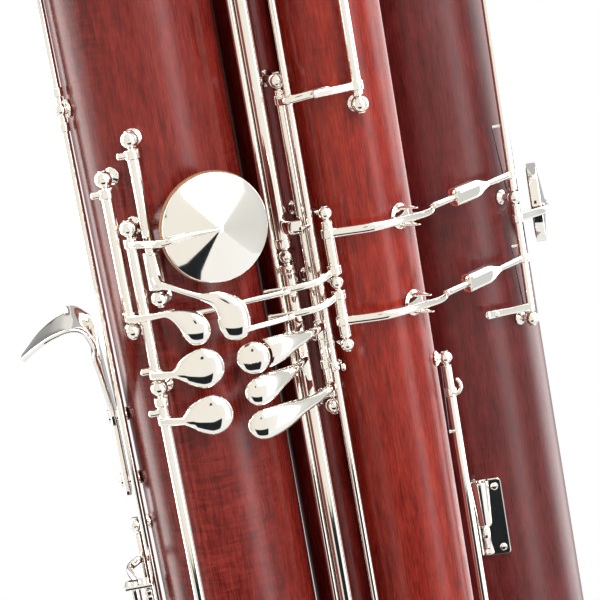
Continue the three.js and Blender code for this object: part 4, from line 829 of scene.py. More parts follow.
def touch(line, z, path, width, thick, shares, tail=None, thick_shares=SPOON_THICK, **options):
    """A touch along a path of (sideways, in front, above) its hub, closed by a round end."""
    points = [ahead(line, x, -front, z + rise) for x, front, rise in path]
    return limb(points, width, thick, shares, thick_shares, facing=FRONT, steps=56, sides=48, crown=1.3,
                square=2.3, tail=tail, **options)


# --- Pad cups -------------------------------------------------------------------------------------
LOW_LIP, PAD_SWELL = 1.1, 0.45  # a thick pad swells out below a short rim
RIM_OVER_SEAT = 0.3


def about_line(line, degrees):
    angle = math.radians(degrees)
    c, s = math.cos(angle), math.sin(angle)
    turn = np.eye(4)
    turn[:2, :2] = [[c, -s], [s, c]]
    x, y = line["at"]
    return moved(x, y, 0) @ turn @ moved(-x, -y, 0)


def pad_cup(line, tube, cup, sideways=1):
    """The cup's surfaces, its pad, and the frame of its rim."""
    matrix = about_line(line, -sideways * cup["open"]) @ on_tube(tube, cup["turn"], cup["z"],
                                                               cup["seat"] + CLEAR + PAD_PROUD)
    radius, inside, deck, edge = cup["radius"], cup["radius"] - CUP_WALL, CUP_DECK - CUP_WALL, 0.28
    slope = radius * cup["cone"]
    if cup["seat"] > THICK_SEAT:
        lip, rim, swell = LOW_LIP, LOW_LIP, radius + PAD_SWELL
    else:
        lip, rim, swell = 0, RIM_OVER_SEAT - PAD_PROUD, inside - 0.2
    cone = [(radius * i / 12, CUP_RIM + slope * (1 - i / 12)) for i in range(10, 0, -1)]
    body = lathe([(0, deck), (inside, deck), (inside, rim), (radius, rim), (radius, CUP_RIM - edge * 0.5),
                  (radius - edge, CUP_RIM + edge * cup["cone"]), *cone, (0, CUP_RIM + slope)],
                 matrix, 144, 0.12)
    pad = lathe([(0, -PAD_PROUD), (radius * HOLE_SHARE * 0.96, -PAD_PROUD),
                 (radius * 0.7, -PAD_PROUD * 0.93), (radius * CHIMNEY_SHARE, -PAD_PROUD),
                 (swell - 0.9, -PAD_PROUD * 0.97),
                 (swell - 0.25, -PAD_PROUD * 0.75), (swell, lip - 1.2), (swell - 0.25, lip - 0.12),
                 (inside - 0.2, lip - 0.05), (inside - 0.2, deck - 0.2), (0, deck - 0.2)], matrix, 96, 0.35)
    return body, pad, matrix


def cup_arm(line, z, matrix, cup, sideways=1, over=(), width=ARM_WIDTH):
    """The arm over the rim, which tapers to the cone's apex."""
    radius, slope = cup["radius"], cup["radius"] * cup["cone"]

    def on(share, out):
        return apply(matrix, (-sideways * share * radius, 0, out))

    points = [ahead(line, 0, 0, z), on(1.06, CUP_RIM + ARM_THICK * 0.8), on(0.55, CUP_RIM + slope * 0.62),
              on(-0.02, CUP_RIM + slope)]
    points[1][2] = points[0][2] * 0.7 + points[3][2] * 0.3
    points[1:1] = [ahead(line, x, -front, z) for x, front in over]
    shares = [1.0] * len(over) + [1.0, 0.95, 0.8, 0.28]
    return limb(points, width, ARM_THICK, shares, [1, 1.05, 0.9, 0.5], square=2.5, steps=48, round_end=0.8)


def padded(line, tube, cup, sideways=1, hub=None, over=(), width=ARM_WIDTH):
    """A pad cup with its arm, and its pad."""
    body, pad, matrix = pad_cup(line, tube, cup, sideways)
    return [body, cup_arm(line, hub or cup["z"], matrix, cup, sideways, over, width)], pad


def key(name, surfaces, pad=None, body=None, node=None):
    """A silver piece for a key, and its leather pad. The smallest pads have no solid of their own."""
    body = body or name
    piece(name, body, "silver", SILVER, surfaces, node or name + "_key")
    if pad is not None:
        solids = [name + "_pad"] if name + "_pad" in frame["nodes"] else []
        piece(name + "_leather", body, "pad", PAD, [pad], *solids)


# --- Left cluster ---------------------------------------------------------------------------------
inner_ends = sleeve_ends(INNER)
outer_ends = sleeve_ends(OUTER)
cup_ends = sleeve_ends(CUP)
low_ends = sleeve_ends(CUP, 1)
link_offset = SMALL_POST["ball"] + CLEAR + HALF_COLLAR
link_heights = [CROSS["posts"][1] + link_offset, CROSS["posts"][1] - link_offset]
bar_levels = [z - BAR["drop"] for z in link_heights]


def link_bar(start, level):
    """The bar from a touch to a cross lever's arm, with a rivet near its end."""
    end = ahead(CROSS, -BAR["overlap"], -BAR["front"], level)
    bar = arm_of([start, (start + end) / 2, end], BAR["width"], BAR["thick"] * 0.9, 2.8)
    eye = end - (end - start) / np.linalg.norm(end - start) * 1.6
    return [bar, rod(eye + FRONT * 1.35, eye - FRONT * 0.6, 0.95, 20, 0.15)]


INNER_ARM = [(0, 1.6, -6.5), (1.2, 3.6, -9.6), (4.9, 4.8, -11.1), (9.4, 5.6, -13.4), (14.8, 6.1, -16),
             (20.3, 6.3, -18.3), (24, 6.4, -22.6), (24.5, 6.5, -27.4), (23.5, 6.3, -33.6)]
INNER_SHARES = [0.3, 0.26, 0.22, 0.2, 0.24, 0.58, 0.96, 1, 1]
BARREL = {"share": 0.27, "step": 1.1, "room": 0.4}
inner_top = inner_ends[1] + (inner_ends[0] - inner_ends[1]) * BARREL["share"]
key("low_d", [
    hinge_tube(INNER, inner_ends), collar(INNER, inner_ends[0] - HALF_COLLAR),
    hinge_tube(INNER, (inner_top, inner_ends[1]), BARREL["step"], BARREL["room"]),
    touch(INNER, inner_top - HALF_COLLAR, INNER_ARM, 11.4, 4.2, INNER_SHARES, 0.875,
          thick_shares=[0.5, 0.5, 0.5, 0.5, 0.55, 0.8, 1, 1, 0.95]),
    link_bar(ahead(INNER, 24.4, -6.3, bar_levels[1] - CLEAR), bar_levels[1]),
    side_stub(INNER, inner_ends[0] - HALF_COLLAR),
])

OUTER_ARM = [(-0.5, 1.8, -0.7), (3.2, 3.6, -0.6), (8.5, 5.6, -0.2), (13.6, 6.9, 0), (18.8, 8, -2.4),
             (22.4, 9, -6.2), (22.5, 8.7, -12.7)]
OUTER_SHARES = [0.26, 0.27, 0.24, 0.26, 0.7, 1, 1]
outer_hub = outer_ends[1] + HALF_COLLAR
key("low_e_flat", [
    hinge_tube(OUTER, outer_ends), end_collars(OUTER, outer_ends),
    touch(OUTER, outer_hub, OUTER_ARM, 10.9, 4.4, OUTER_SHARES, 0.833),
    link_bar(ahead(OUTER, 22.016, -8.55, outer_hub - 1.2), bar_levels[0]),
    side_stub(OUTER, outer_ends[0] - HALF_COLLAR),
])

FLAT_ARM = [(-1.2, 1.7, 0), (2.9, 4.2, 0), (6.6, 5.3, 0), (11, 5.6, 0.5), (17, 5.6, 0.4), (24.7, 5.4, -0.5)]
FLAT_SHARES = [0.22, 0.2, 0.21, 0.7, 1, 1]
LOW_TOUCH_DROP = 8.7
cup_hub, low_hub = cup_ends[1] + HALF_COLLAR, low_ends[0] - LOW_TOUCH_DROP
cup, pad = padded(CUP, BASS, BIG_CUP, 1, cup_ends[0] - HALF_COLLAR, ((0.6, 4.6), (5.2, 8.2)), 2.7)
key("low_c", [
    hinge_tube(CUP, cup_ends), end_collars(CUP, cup_ends), cup,
    touch(CUP, cup_hub, FLAT_ARM, 15, 4.6, FLAT_SHARES, 0.8), side_stub(CUP, cup_hub + 1.3),
], pad)
cup, pad = padded(CUP, BASS, LOW_CUP)
key("low_b", [
    hinge_tube(CUP, low_ends), collar(CUP, low_ends[0] - HALF_COLLAR), cup,
    collar(CUP, LOW_CUP["z"]), collar(CUP, low_hub),
    touch(CUP, low_hub, FLAT_ARM, 15, 4.6, FLAT_SHARES, 0.8), side_stub(CUP, low_hub + 3.1),
], pad)

# --- Far left key and the adjusting rocker --------------------------------------------------------
guide_half = GUIDE_POST["ball"] + CLEAR + COLLAR_HEIGHT
cup, pad = padded(LEFT, BASS, LEFT_CUP)
key("low_b_flat", [
    hinge_tube(LEFT, sleeve_ends(LEFT)), cup,
    [collar(LEFT, z) for z in (LEFT_CUP["z"], GUIDE_LEVEL + guide_half, GUIDE_LEVEL - guide_half)],
], pad)

PLATE = {"width": 10.8, "depth": 8, "thick": 1.6, "z": over_keys(-89), "out": 15, "turn": -52,
         "arm_turn": -72}
KNOB = {"ribs": 4, "start": 1.1, "pitch": 2.25, "rib": 2.1, "groove": 0.35}
PIN_RADIUS, PIN_REACH = 2, 9


def rocker():
    """The rod with its ribbed knob, the arm round the wood, and the plate with a clamp pin, and a dark
    strip painted as the shade in the pin's slot.
    """
    ends = sleeve_ends(ROCKER)
    plate_at = beside(BASS, PLATE["turn"], PLATE["out"], PLATE["z"])
    bend = beside(BASS, PLATE["arm_turn"], PLATE["out"] - ARM_WIDTH, PLATE["z"] + ARM_WIDTH / 2)
    arm = arm_of([ahead(ROCKER, 0, 0, PLATE["z"] + ARM_WIDTH), bend, plate_at])
    plate = slab(moved(*plate_at), PLATE["width"], PLATE["depth"], PLATE["thick"], 0.5)
    pin_xy = plate_at[:2] - np.array([PIN_RADIUS, 0])
    low, high = PLATE["z"] - PIN_REACH, PLATE["z"] + PLATE["thick"]
    pin = lathe([(0, low), (1.3, low), (1.3, low + 2.2), (PIN_RADIUS, low + 2.4), (PIN_RADIUS, high),
                 (0, high)], standing(pin_xy), 32, 0.25)
    ribs = [collar(ROCKER, ends[1] + KNOB["start"] + i * KNOB["pitch"], KNOB["rib"], KNOB["groove"],
                   2 * COLLAR_STEP - KNOB["groove"]) for i in range(KNOB["ribs"])]
    # The slot is a dark strip on the pin's top: painted shade for the shadow in a cut slot.
    slot = slab(moved(*pin_xy, high), 3.6, 0.5, 0.5, 0.02)
    return [hinge_tube(ROCKER, ends), arm, plate, pin, ribs], slot


rocker_surfaces, rocker_slot_shade = rocker()
key("adjusting_rocker", rocker_surfaces, body="rocker", node="adjusting_rocker")
# The dark strip is painted slot shade.
piece("adjusting_rocker_slot", "rocker", "silver", DARK_BLUED_AND_SLOT_SHADE, [rocker_slot_shade])

# --- Keys on the wing joint -----------------------------------------------------------------------
thick_top = sleeve_ends(THICK)
thick_low = sleeve_ends(THICK, 1)
BRIDGE_ARM = {"z": over_keys(31), "reach": 7.4, "front": 9.3, "width": 5, "thick": 2.4}
SLIM_STEP = 0.35
cup, pad = padded(THICK, BASS, HELPER_CUP, -1)
key("low_c_sharp_helper", [
    hinge_tube(THICK, thick_top), cup,
    arm_of([ahead(THICK, BRIDGE_ARM["reach"] * x, -BRIDGE_ARM["front"] * front, BRIDGE_ARM["z"])
            for x, front in ((0, 0), (1 / 3, 0.8), (1, 1))], BRIDGE_ARM["width"], BRIDGE_ARM["thick"]),
    collar(THICK, HELPER_CUP["z"]), collar(THICK, thick_top[1] + HALF_COLLAR, step=SLIM_STEP),
], pad)

MID_ARM = [(0, 0, 0.6), (-0.6, 6.5, 1.6), (-4.3, 14.5, 1), (-9.6, 19.6, 0.1), (-14.4, 22.3, -1.3),
           (-17.9, 23.5, -2.4), (-23, 24, -3.4)]
MID_SHARES = [0.3, 0.28, 0.36, 0.64, 0.94, 1, 1]
THUMB_HUBS = levels(-6.4, -19.9, -29.4)
cup, pad = padded(THICK, BASS, THICK_CUP, -1)
key("low_c_sharp", [
    hinge_tube(THICK, thick_low), cup, collar(THICK, THICK_CUP["z"]),
    touch(THICK, THUMB_HUBS[1], MID_ARM, 10.5, 4.2, MID_SHARES, 0.833),
    collar(THICK, thick_low[0] - HALF_COLLAR, step=SLIM_STEP),
], pad)


def by_button(reach_share, front_share):
    return ahead(VENT, -BUTTON["reach"] * reach_share, -BUTTON["front"] * front_share, BUTTON["z"])


def button():
    """The domed cap and the arm behind it."""
    radius, height = BUTTON["radius"] + BUTTON["fuller"], BUTTON["height"]
    angles = np.linspace(math.pi / 2, 0, 14)
    curve = [(radius * math.sin(a), height * (0.05 + 0.75 * math.cos(a))) for a in angles]
    cap = lathe([(0, -height / 2), (radius * 0.7, -height / 2), (radius * 0.94, -height * 0.25),
                 (radius, -0.1), *curve[1:-1], (0, height * 0.8)],
                place_matrix([1, 0, 0], UP, FRONT, by_button(1, 1)), 72, 0.1)
    arm = arm_of([by_button(0, 0), by_button(0.45, 0.3), by_button(0.88, 0.6), by_button(1, 0.8),
                  by_button(1, 1) - FRONT * 1.2])
    return [cap, arm]


vent_ends = sleeve_ends(VENT)
cup, pad = padded(VENT, BASS, VENT_CUP, -1)
key("octave", [hinge_tube(VENT, vent_ends), cup, button(), collar(VENT, BUTTON["z"])], pad)

THUMB_SPLIT = over_keys(-8.6)
thumb_top, thumb_foot = sleeve_ends(THUMB)
thumb_high, thumb_low = (thumb_top, THUMB_SPLIT + CLEAR), (THUMB_SPLIT, thumb_foot)
over_hub = thumb_high[0] - COLLAR_HEIGHT
over_height = over_hub + OVER_ARM["lift"]
key("high_octave_touch", [
    hinge_tube(THUMB, thumb_high), collar(THUMB, over_hub),
    collar(THUMB, thumb_high[1] + HALF_COLLAR),
    arm_of([ahead(THUMB, 0, -1, over_hub), ahead(THUMB, -0.4, -5.5, over_hub),
            ahead(THUMB, 2.2, -8.7, over_hub + 0.3),
            ahead(THUMB, OVER_ARM["split"] * 0.5, -OVER_ARM["rise"] - 0.9, over_hub + 0.9),
            ahead(THUMB, OVER_ARM["split"] * 1.1, -OVER_ARM["rise"], over_height)], **SLIM_ARM),
], body="high_octave_thumb", node="high_octave_touch")

HIGH_ARM = [(0, 0, 0), (0.2, 2.6, -0.4), (-3.3, 8, -0.9), (-8.5, 12, -1.4), (-14.2, 15, -2.1),
            (-19, 16.3, -2.9), (-23.6, 16.4, -3.6)]
HIGH_SHARES = [0.3, 0.28, 0.32, 0.5, 0.84, 1.02, 1.04]


def high_touch():
    """The wide touch, cut to a hollow curve that clears the button beside it."""
    plate = touch(THUMB, THUMB_HUBS[0], HIGH_ARM, 10.6, 3.4, HIGH_SHARES, round_end=0.4)
    made = mesh_object("high_octave_plate", [plate])
    centre, reach = by_button(1, 1), np.array([0, 12, 0])
    room = rod(centre - reach, centre + reach, BUTTON["radius"] + BUTTON["room"], 96, 0)
    carved(made, [mesh_object("button_room", [room])])
    smooth(made.data, 40)
    dress(made, "high_octave_thumb", "silver", SILVER)


high_touch()

DEEP_ARM = [(0, 0, 0), (0, 3.2, -0.3), (-4.8, 9, -1.5), (-11.7, 14, -2.6), (-18.6, 17.3, -3.9),
            (-25.4, 19.5, -5.1), (-31.7, 20, -5.7)]
DEEP_SHARES = [0.3, 0.3, 0.35, 0.52, 0.86, 1, 1]
NIB = {"drop": 13, "reach": 5.4, "front": 9.4, "thick": 1.6, "width": 2.6}
nib_level = thumb_low[0] - NIB["drop"]
key("f_sharp_thumb", [
    hinge_tube(THUMB, thumb_low), collar(THUMB, nib_level),
    collar(THUMB, thumb_low[0] - HALF_COLLAR),
    arm_of([ahead(THUMB, 0, 0, nib_level), ahead(THUMB, NIB["reach"], -NIB["reach"] / 4, nib_level),
            ahead(THUMB, NIB["reach"] * 1.05, -NIB["front"], nib_level)], NIB["width"], NIB["thick"]),
    touch(THUMB, THUMB_HUBS[2], DEEP_ARM, 11.4, 4.4, DEEP_SHARES, 0.833),
])

cup, pad = padded(SLIM, MIDDLE, SLIM_CUP)
key("f_sharp", [
    hinge_tube(SLIM, sleeve_ends(SLIM)), cup,
    [rod(ahead(SLIM, 0, 0, z), ahead(SLIM, x, -NIB["front"] * 0.45, z), NIB["thick"] / 2)
     for z, x in ((nib_level, NIB["thick"] / 2), (BRIDGE_ARM["z"], -NIB["reach"] * 0.7))],
    collar(SLIM, nib_level), collar(SLIM, SLIM_CUP["z"]),
], pad)

# --- Cross levers ---------------------------------------------------------------------------------
UPPER_CROSS, LOWER_CROSS = over_keys(27.6), over_keys(-4.8)


def cross_lever(first, link_level, cross_level):
    """A lever's tube, its arm behind a link bar, and its long arm over the middle joint."""
    bar_arm = arm_of([ahead(CROSS, -BAR["reach"] * x, -BAR["behind"] * front,
                            link_level - BAR["drop"] * drop)
                      for x, front, drop in ((0, 0, 0), (0.25, 0.7, 0.8), (0.6, 1, 1), (1, 1, 1))],
                     BAR["lever_width"], BAR["thick"])
    lifts = [CROSS_ARM["lift"]] * 3 + [CROSS_ARM["tip"]]
    over = [beside(MIDDLE, turn, lift, cross_level) for turn, lift in zip(CROSS_TURNS, lifts)]
    curl = beside(MIDDLE, CROSS_TURNS[3] + 5, CROSS_ARM["tip"] + 0.5, cross_level + 1.3)
    arm = limb([ahead(CROSS, 0, -CROSS["outer"] / 2, cross_level), *over, curl], CROSS_ARM["width"],
               CROSS_ARM["thick"], [0.95, 0.95, 0.85, 0.8, 0.75, 0.6], steps=56, square=2.4, round_end=0.8)
    return [hinge_tube(CROSS, sleeve_ends(CROSS, first)), collar(CROSS, link_level),
            collar(CROSS, cross_level), bar_arm, arm]


def guide_fork(level):
    """A round foot on the wood with two prongs, between which a lever moves."""
    base, sideways = on_tube(MIDDLE, GUIDE["turn"], level, 0), (GUIDE["gap"] + GUIDE["prong"]) / 2
    thick = GUIDE["thick"]
    foot = lathe([(0, 0.1), (GUIDE["foot"], 0.1), (GUIDE["foot"], 0.1 + thick * 0.5),
                  (GUIDE["foot"] * 0.8, CLEAR + thick), (0, CLEAR + thick)], base, 48, 0.2)
    prongs = [limb([apply(base, (0, y, 0.4)), apply(base, (0, y, CLEAR + GUIDE["reach"] - 0.3))],
                   GUIDE["prong"], GUIDE["width"], [1.2, 1, 0.5], [1.15, 0.9, 0.3], square=2.3,
                   round_end=0.3)
              for y in (sideways, -sideways)]
    return [foot, prongs]


for i, (name, level) in enumerate((("upper", UPPER_CROSS), ("lower", LOWER_CROSS))):
    key(name + "_cross_lever", cross_lever(i, link_heights[i], level),
        body=name + "_cross", node=name + "_cross_lever")
for name, level in (("upper", UPPER_CROSS), ("lower", LOWER_CROSS)):
    fitting(name + "_lever_fork", guide_fork(level), name + "_lever_guide")


# --- Side keys ------------------------------------------------------------------------------------
def side_arm(level):
    """The arm that a cross lever lifts, with its sleeve block."""
    hub = ahead(SIDE, 0, 0, level + SIDE_ARM_RISE)
    fork = beside(MIDDLE, FORK_TURN, CROSS_ARM["tip"] + FORK_GAP, level + FORK_RISE)
    thin = limb([hub, hub + (fork - hub) * 0.5, fork], ARM_WIDTH, ARM_THICK, [0.85, 0.62, 0.8],
                [1, 0.85, 1], square=2.4, round_end=0.5)
    block = limb([hub + (fork - hub) * share for share in (0.32, 0.38, 0.44, 0.5, 0.71, 0.745)],
                 SLEEVE_BLOCK["width"], SLEEVE_BLOCK["thick"], [0.32, 0.54, 0.86, 1, 1, 0.98],
                 [0.5, 0.66, 0.9, 1, 1, 0.98], steps=60, sides=40, crown=1.1, square=3.4, round_end=0.25)
    return [thin, block]


def side_key(ends, level, shape):
    """A side key's surfaces, and its pad."""
    cup, pad = padded(SIDE, LONG, shape)
    return [hinge_tube(SIDE, ends), cup, side_arm(level), collar(SIDE, level + SIDE_ARM_RISE),
            collar(SIDE, shape["z"])], pad


high_side_ends = sleeve_ends(SIDE)
low_side_ends = sleeve_ends(SIDE, 1)
key("high_side", *side_key(high_side_ends, UPPER_CROSS, HIGH_SIDE_CUP))

LEVER = {"reach": 17.3, "back": 10, "rise": 2, "screw_share": 0.82, "screw": 1.1, "proud": 1.5, "deep": 4}


def lever_at(share, front):
    return ahead(SIDE, -share * LEVER["reach"], -share * LEVER["back"] - front,
                 low_side_ends[1] + HALF_COLLAR + share * LEVER["rise"])


low_side, low_side_pad = side_key(low_side_ends, LOWER_CROSS, LOW_SIDE_CUP)
key("low_side", [
    low_side, limb([lever_at(0, 0), lever_at(0.5, 0), lever_at(1, 0)], ARM_WIDTH, ARM_THICK, [1, 0.85, 1.0],
                   [1, 0.9, 1], square=2.8, round_end=1.0),
    rod(lever_at(LEVER["screw_share"], LEVER["proud"]), lever_at(LEVER["screw_share"], -LEVER["deep"]),
        LEVER["screw"], 28, 0.2),
], low_side_pad)

# --- High octave bridge and the low vent key ------------------------------------------------------
bridge_ends = sleeve_ends(BRIDGE)
cup, pad = padded(BRIDGE, MIDDLE, BRIDGE_CUP, -1)
key("high_octave", [
    hinge_tube(BRIDGE, bridge_ends), cup,
    arm_of([ahead(BRIDGE, 0, 0, over_height),
            ahead(BRIDGE, -OVER_ARM["split"] / 2, -ARM_WIDTH, over_height),
            ahead(BRIDGE, -OVER_ARM["split"], -ARM_WIDTH - ARM_THICK, over_height)], **SLIM_ARM),
    collar(BRIDGE, over_height), collar(BRIDGE, BRIDGE_CUP["z"]),
], pad)

HOOK = [(0.4, -1.6, 0), (2.4, -2.2, -0.3), (3.7, -2.4, 1.4), (3.7, -2.4, 3.4), (2.8, -2.3, 5)]
HOOK_DROP = 13.4
hook_level = LOW["posts"][0] - HOOK_DROP
cup, pad = padded(LOW, LONG, DEEP_CUP)
key("b_flat_vent", [
    hinge_tube(LOW, sleeve_ends(LOW)), cup,
    limb([ahead(LOW, x, y, hook_level + rise) for x, y, rise in HOOK], 1.7, 1.3, [1.2, 1, 0.9, 0.8, 0.6],
         across=-FRONT, square=2.4, round_end=0.5),
    collar(LOW, hook_level), collar(LOW, DEEP_CUP["z"]),
], pad)


# --- Bows, sockets and the water key --------------------------------------------------------------
def half_circle(from_tube, to_tube, level, up):
    """Points on a bend between two tubes' axes."""
    steps = 64
    start, end = point(from_tube["axis"], level), point(to_tube["axis"], level)
    half = (end - start) / 2
    rise = UP * up * np.linalg.norm(half)
    return [start + half - half * math.cos(math.pi * i / steps) + rise * math.sin(math.pi * i / steps)
            for i in range(steps + 1)]


def outer_socket(tube, end, up, pipe_radius):
    """A ferrule round the joint's end, with beads, and a cap that the pipe leaves."""
    inner = radius_at(tube, end) + abs(tube["taper"]) * FERRULE["height"] + 0.1
    outer = inner + FERRULE["wall"] + 0.15
    tall, wall = FERRULE["height"], FERRULE["wall"]
    profile = [(0, CLEAR), (inner, CLEAR), (inner, -tall), (outer, -tall), (outer, -tall + 2.2),
               (outer - 0.7, -tall + 3), (outer - 0.7, -5), (outer, -4.2), (outer, CLEAR + wall),
               (pipe_radius + 3, CLEAR + 2.2 * wall), (pipe_radius + 0.6, CLEAR + 3 * wall),
               (0, CLEAR + 3 * wall)]
    return lathe([(r, end + up * z) for r, z in profile], standing(tube["axis"]), 128, 0.4)


def bore_socket(tube, end, up, pipe_radius):
    """A flange on the joint's end, and a short collar that the pipe leaves."""
    flange = radius_at(tube, end) - CLEAR
    wall = FERRULE["wall"]
    collar_radius = min(pipe_radius + wall, flange)
    profile = [(0, CLEAR * 0.3), (flange, CLEAR * 0.3), (flange, CLEAR + wall),
               (collar_radius, CLEAR + 2 * wall), (collar_radius, CLEAR + 3 * wall), (0, CLEAR + 3 * wall)]
    return lathe([(r, end + up * z) for r, z in profile], standing(tube["axis"]), 96, 0.4)


BOW_RADIUS, SMALL_BOW_RADIUS, TOP_BOW_RADIUS = 24, 6.2, 11.4


def bow(from_tube, to_tube, radius, end, up, socket, sides=64):
    path = half_circle(from_tube, to_tube, end + up * CLEAR, up)
    return [pipe(path, radius, sides), socket(from_tube, end, up, radius), socket(to_tube, end, up, radius)]


HOLDER = {"outer": 9, "height": 80, "lug": 5}
PIN = {"radius": 5, "travel": 34, "tip_radius": 9.5, "tip_height": 34, "core": 6.4}
bow_span = np.linalg.norm(BASS["axis"] - LONG["axis"]) / 2
bow_lowest = BASS["bottom"] - bow_span - BOW_RADIUS - CLEAR
holder_top = bow_lowest - CLEAR
holder_bottom = holder_top - HOLDER["height"]
screw_level = holder_bottom + HOLDER["height"] / 3


def pin_holder():
    """The end pin's holder below the large bow, with the lug that its thumbscrew goes through."""
    outer, low, high = HOLDER["outer"], holder_bottom, holder_top + BOW_RADIUS / 2
    holder = lathe([(PIN["radius"] + 0.26, low), (outer, low), (outer, low + 4), (outer - 0.8, low + 5),
                    (outer - 0.8, holder_top - 9), (outer, holder_top - 3), (outer, high),
                    (PIN["radius"] + 0.26, high)],
                   None, 64, 0.4, True)
    lug = slab(moved(0, -outer - HOLDER["lug"] / 2, screw_level), 10, 10, 10, 1.0)
    return [holder, lug]


fitting("large_bow", [
    bow(LONG, BASS, BOW_RADIUS, BASS["bottom"], -1, outer_socket, 96), pin_holder(),
], "large_bottom_bow")

WATER = {"reach": 26, "width": 5, "thick": 2, "pad": 4.6, "nipple": 3, "nipple_height": 3, "pivot": 11,
         "drop": 3, "hub": 2.4, "pin": 1, "lug": 1.4, "lug_high": 9}
small_span = np.linalg.norm(WING["axis"] - MIDDLE["axis"]) / 2
water_at = point((WING["axis"] + MIDDLE["axis"]) / 2,
                 WING["bottom"] - small_span - SMALL_BOW_RADIUS - CLEAR)
water_pivot = water_at + np.array([0, -WATER["pivot"], -WATER["drop"]])


def water_stand():
    """The nipple that the lever closes, and the two lugs that carry its pin."""
    hub, lug, lug_high = WATER["hub"], WATER["lug"], WATER["lug_high"]
    x, y, z = water_at
    sideways = WATER["width"] / 2 + CLEAR + lug / 2
    deep = WATER["pivot"] - WATER["pad"] - CLEAR + hub
    nipple = upright((x, y), z - WATER["nipple_height"], z + SMALL_BOW_RADIUS, WATER["nipple"])
    lugs = [slab(moved(x + shift, water_pivot[1] + deep / 2 - hub, water_pivot[2] - hub + lug_high / 2),
                 lug, deep, lug_high, 0.5) for shift in (sideways, -sideways)]
    across = np.array([sideways + 0.9, 0, 0])
    return [nipple, lugs, rod(water_pivot - across, water_pivot + across, WATER["pin"])]


fitting("small_bow", [
    bow(WING, MIDDLE, SMALL_BOW_RADIUS, WING["bottom"], -1, bore_socket, 48), water_stand(),
], "small_bottom_bow")
fitting("top_bow_pipe", [
    bow(MIDDLE, LONG, TOP_BOW_RADIUS, MIDDLE["top"], 1, bore_socket, 64),
], "top_bow")


def water_lever():
    reach, width, thick, pad_radius = WATER["reach"], WATER["width"], WATER["thick"], WATER["pad"]
    x, y, z = water_at
    seat = z - WATER["nipple_height"] - CLEAR
    disc = lathe([(0, seat - thick), (pad_radius, seat - thick), (pad_radius, seat), (0, seat)],
                 standing(water_at), 48, 0.3)
    half = np.array([width / 2, 0, 0])
    hub = rod(water_pivot - half, water_pivot + half, WATER["hub"], 40)
    arm = limb([(x, y, seat - thick), water_pivot, water_pivot + np.array([0, -reach / 2, 0]),
                water_pivot + np.array([0, -reach * 0.8, WATER["nipple_height"]])],
               width, thick, [0.8, 1, 0.9, 1.1], across=SIDEWAYS, square=2.8, round_end=1.5)
    return [disc, hub, arm]


piece("water_lever", "water", "silver", SILVER, water_lever(), "water_key")


# --- Yokes ----------------------------------------------------------------------------------------
YOKE_HEIGHT, YOKE_RIM = 8, 3.4


def yoke(name, tubes, low):
    """A plate round the tubes: a disc and a hole for each, and a bridge between neighbours."""
    def widest(tube):
        return max(radius_at(tube, low), radius_at(tube, low + YOKE_HEIGHT))
    high = low + YOKE_HEIGHT
    discs = [mesh_object(f"{name}_disc_{i}", [upright(t["axis"], low, high, widest(t) + YOKE_RIM, 128, 0)])
             for i, t in enumerate(tubes)]
    bridges = []
    for i, (first, second) in enumerate(zip(tubes, tubes[1:])):
        way = second["axis"] - first["axis"]
        centre = (second["axis"] + first["axis"]) / 2
        angle = math.atan2(way[1], way[0])
        c, s = math.cos(angle), math.sin(angle)
        matrix = place_matrix([c, s, 0], [-s, c, 0], UP, point(centre, low + YOKE_HEIGHT / 2))
        width = radius_at(first, low)
        corners = [(x * np.linalg.norm(way) / 2, y * width / 2, z * YOKE_HEIGHT / 2)
                   for z in (-1, 1) for x, y in ((-1, -1), (1, -1), (1, 1), (-1, 1))]
        faces = [[0, 3, 2, 1], [4, 5, 6, 7], [0, 1, 5, 4], [1, 2, 6, 5], [2, 3, 7, 6], [3, 0, 4, 7]]
        bridges.append(mesh_object(f"{name}_bridge_{i}", [placed(Surface(corners, faces), matrix)]))
    base = carved(discs[0], discs[1:] + bridges, "UNION")
    holes = [mesh_object(f"{name}_hole_{i}",
                         [upright(t["axis"], low - 2, high + 2, widest(t) + 0.12, 128, 0)])
             for i, t in enumerate(tubes)]
    base = carved(base, holes)
    base.name = name
    bevel = base.modifiers.new("edges", "BEVEL")
    bevel.width, bevel.segments = 0.6 * MM, 3
    bevel.limit_method, bevel.angle_limit = "ANGLE", math.radians(40)
    settle(base)
    smooth(base.data, 34)
    return base


RECEIVER_TUBE = {"axis": WING["axis"], "radius": 8.4, "taper": 0}
for name, second, level in (("lower", WING, -340), ("upper", RECEIVER_TUBE, 330)):
    plate = yoke(name + "_yoke_plate", [BASS, second, MIDDLE, LONG], over_keys(level))
    dress(plate, "instrument", "silver", SILVER, name + "_yoke")

# --- Bell -----------------------------------------------------------------------------------------
BELL = {"height": 250, "waist": 30, "mouth": 38, "wall": 5, "bead": 2.6, "socket": 30}


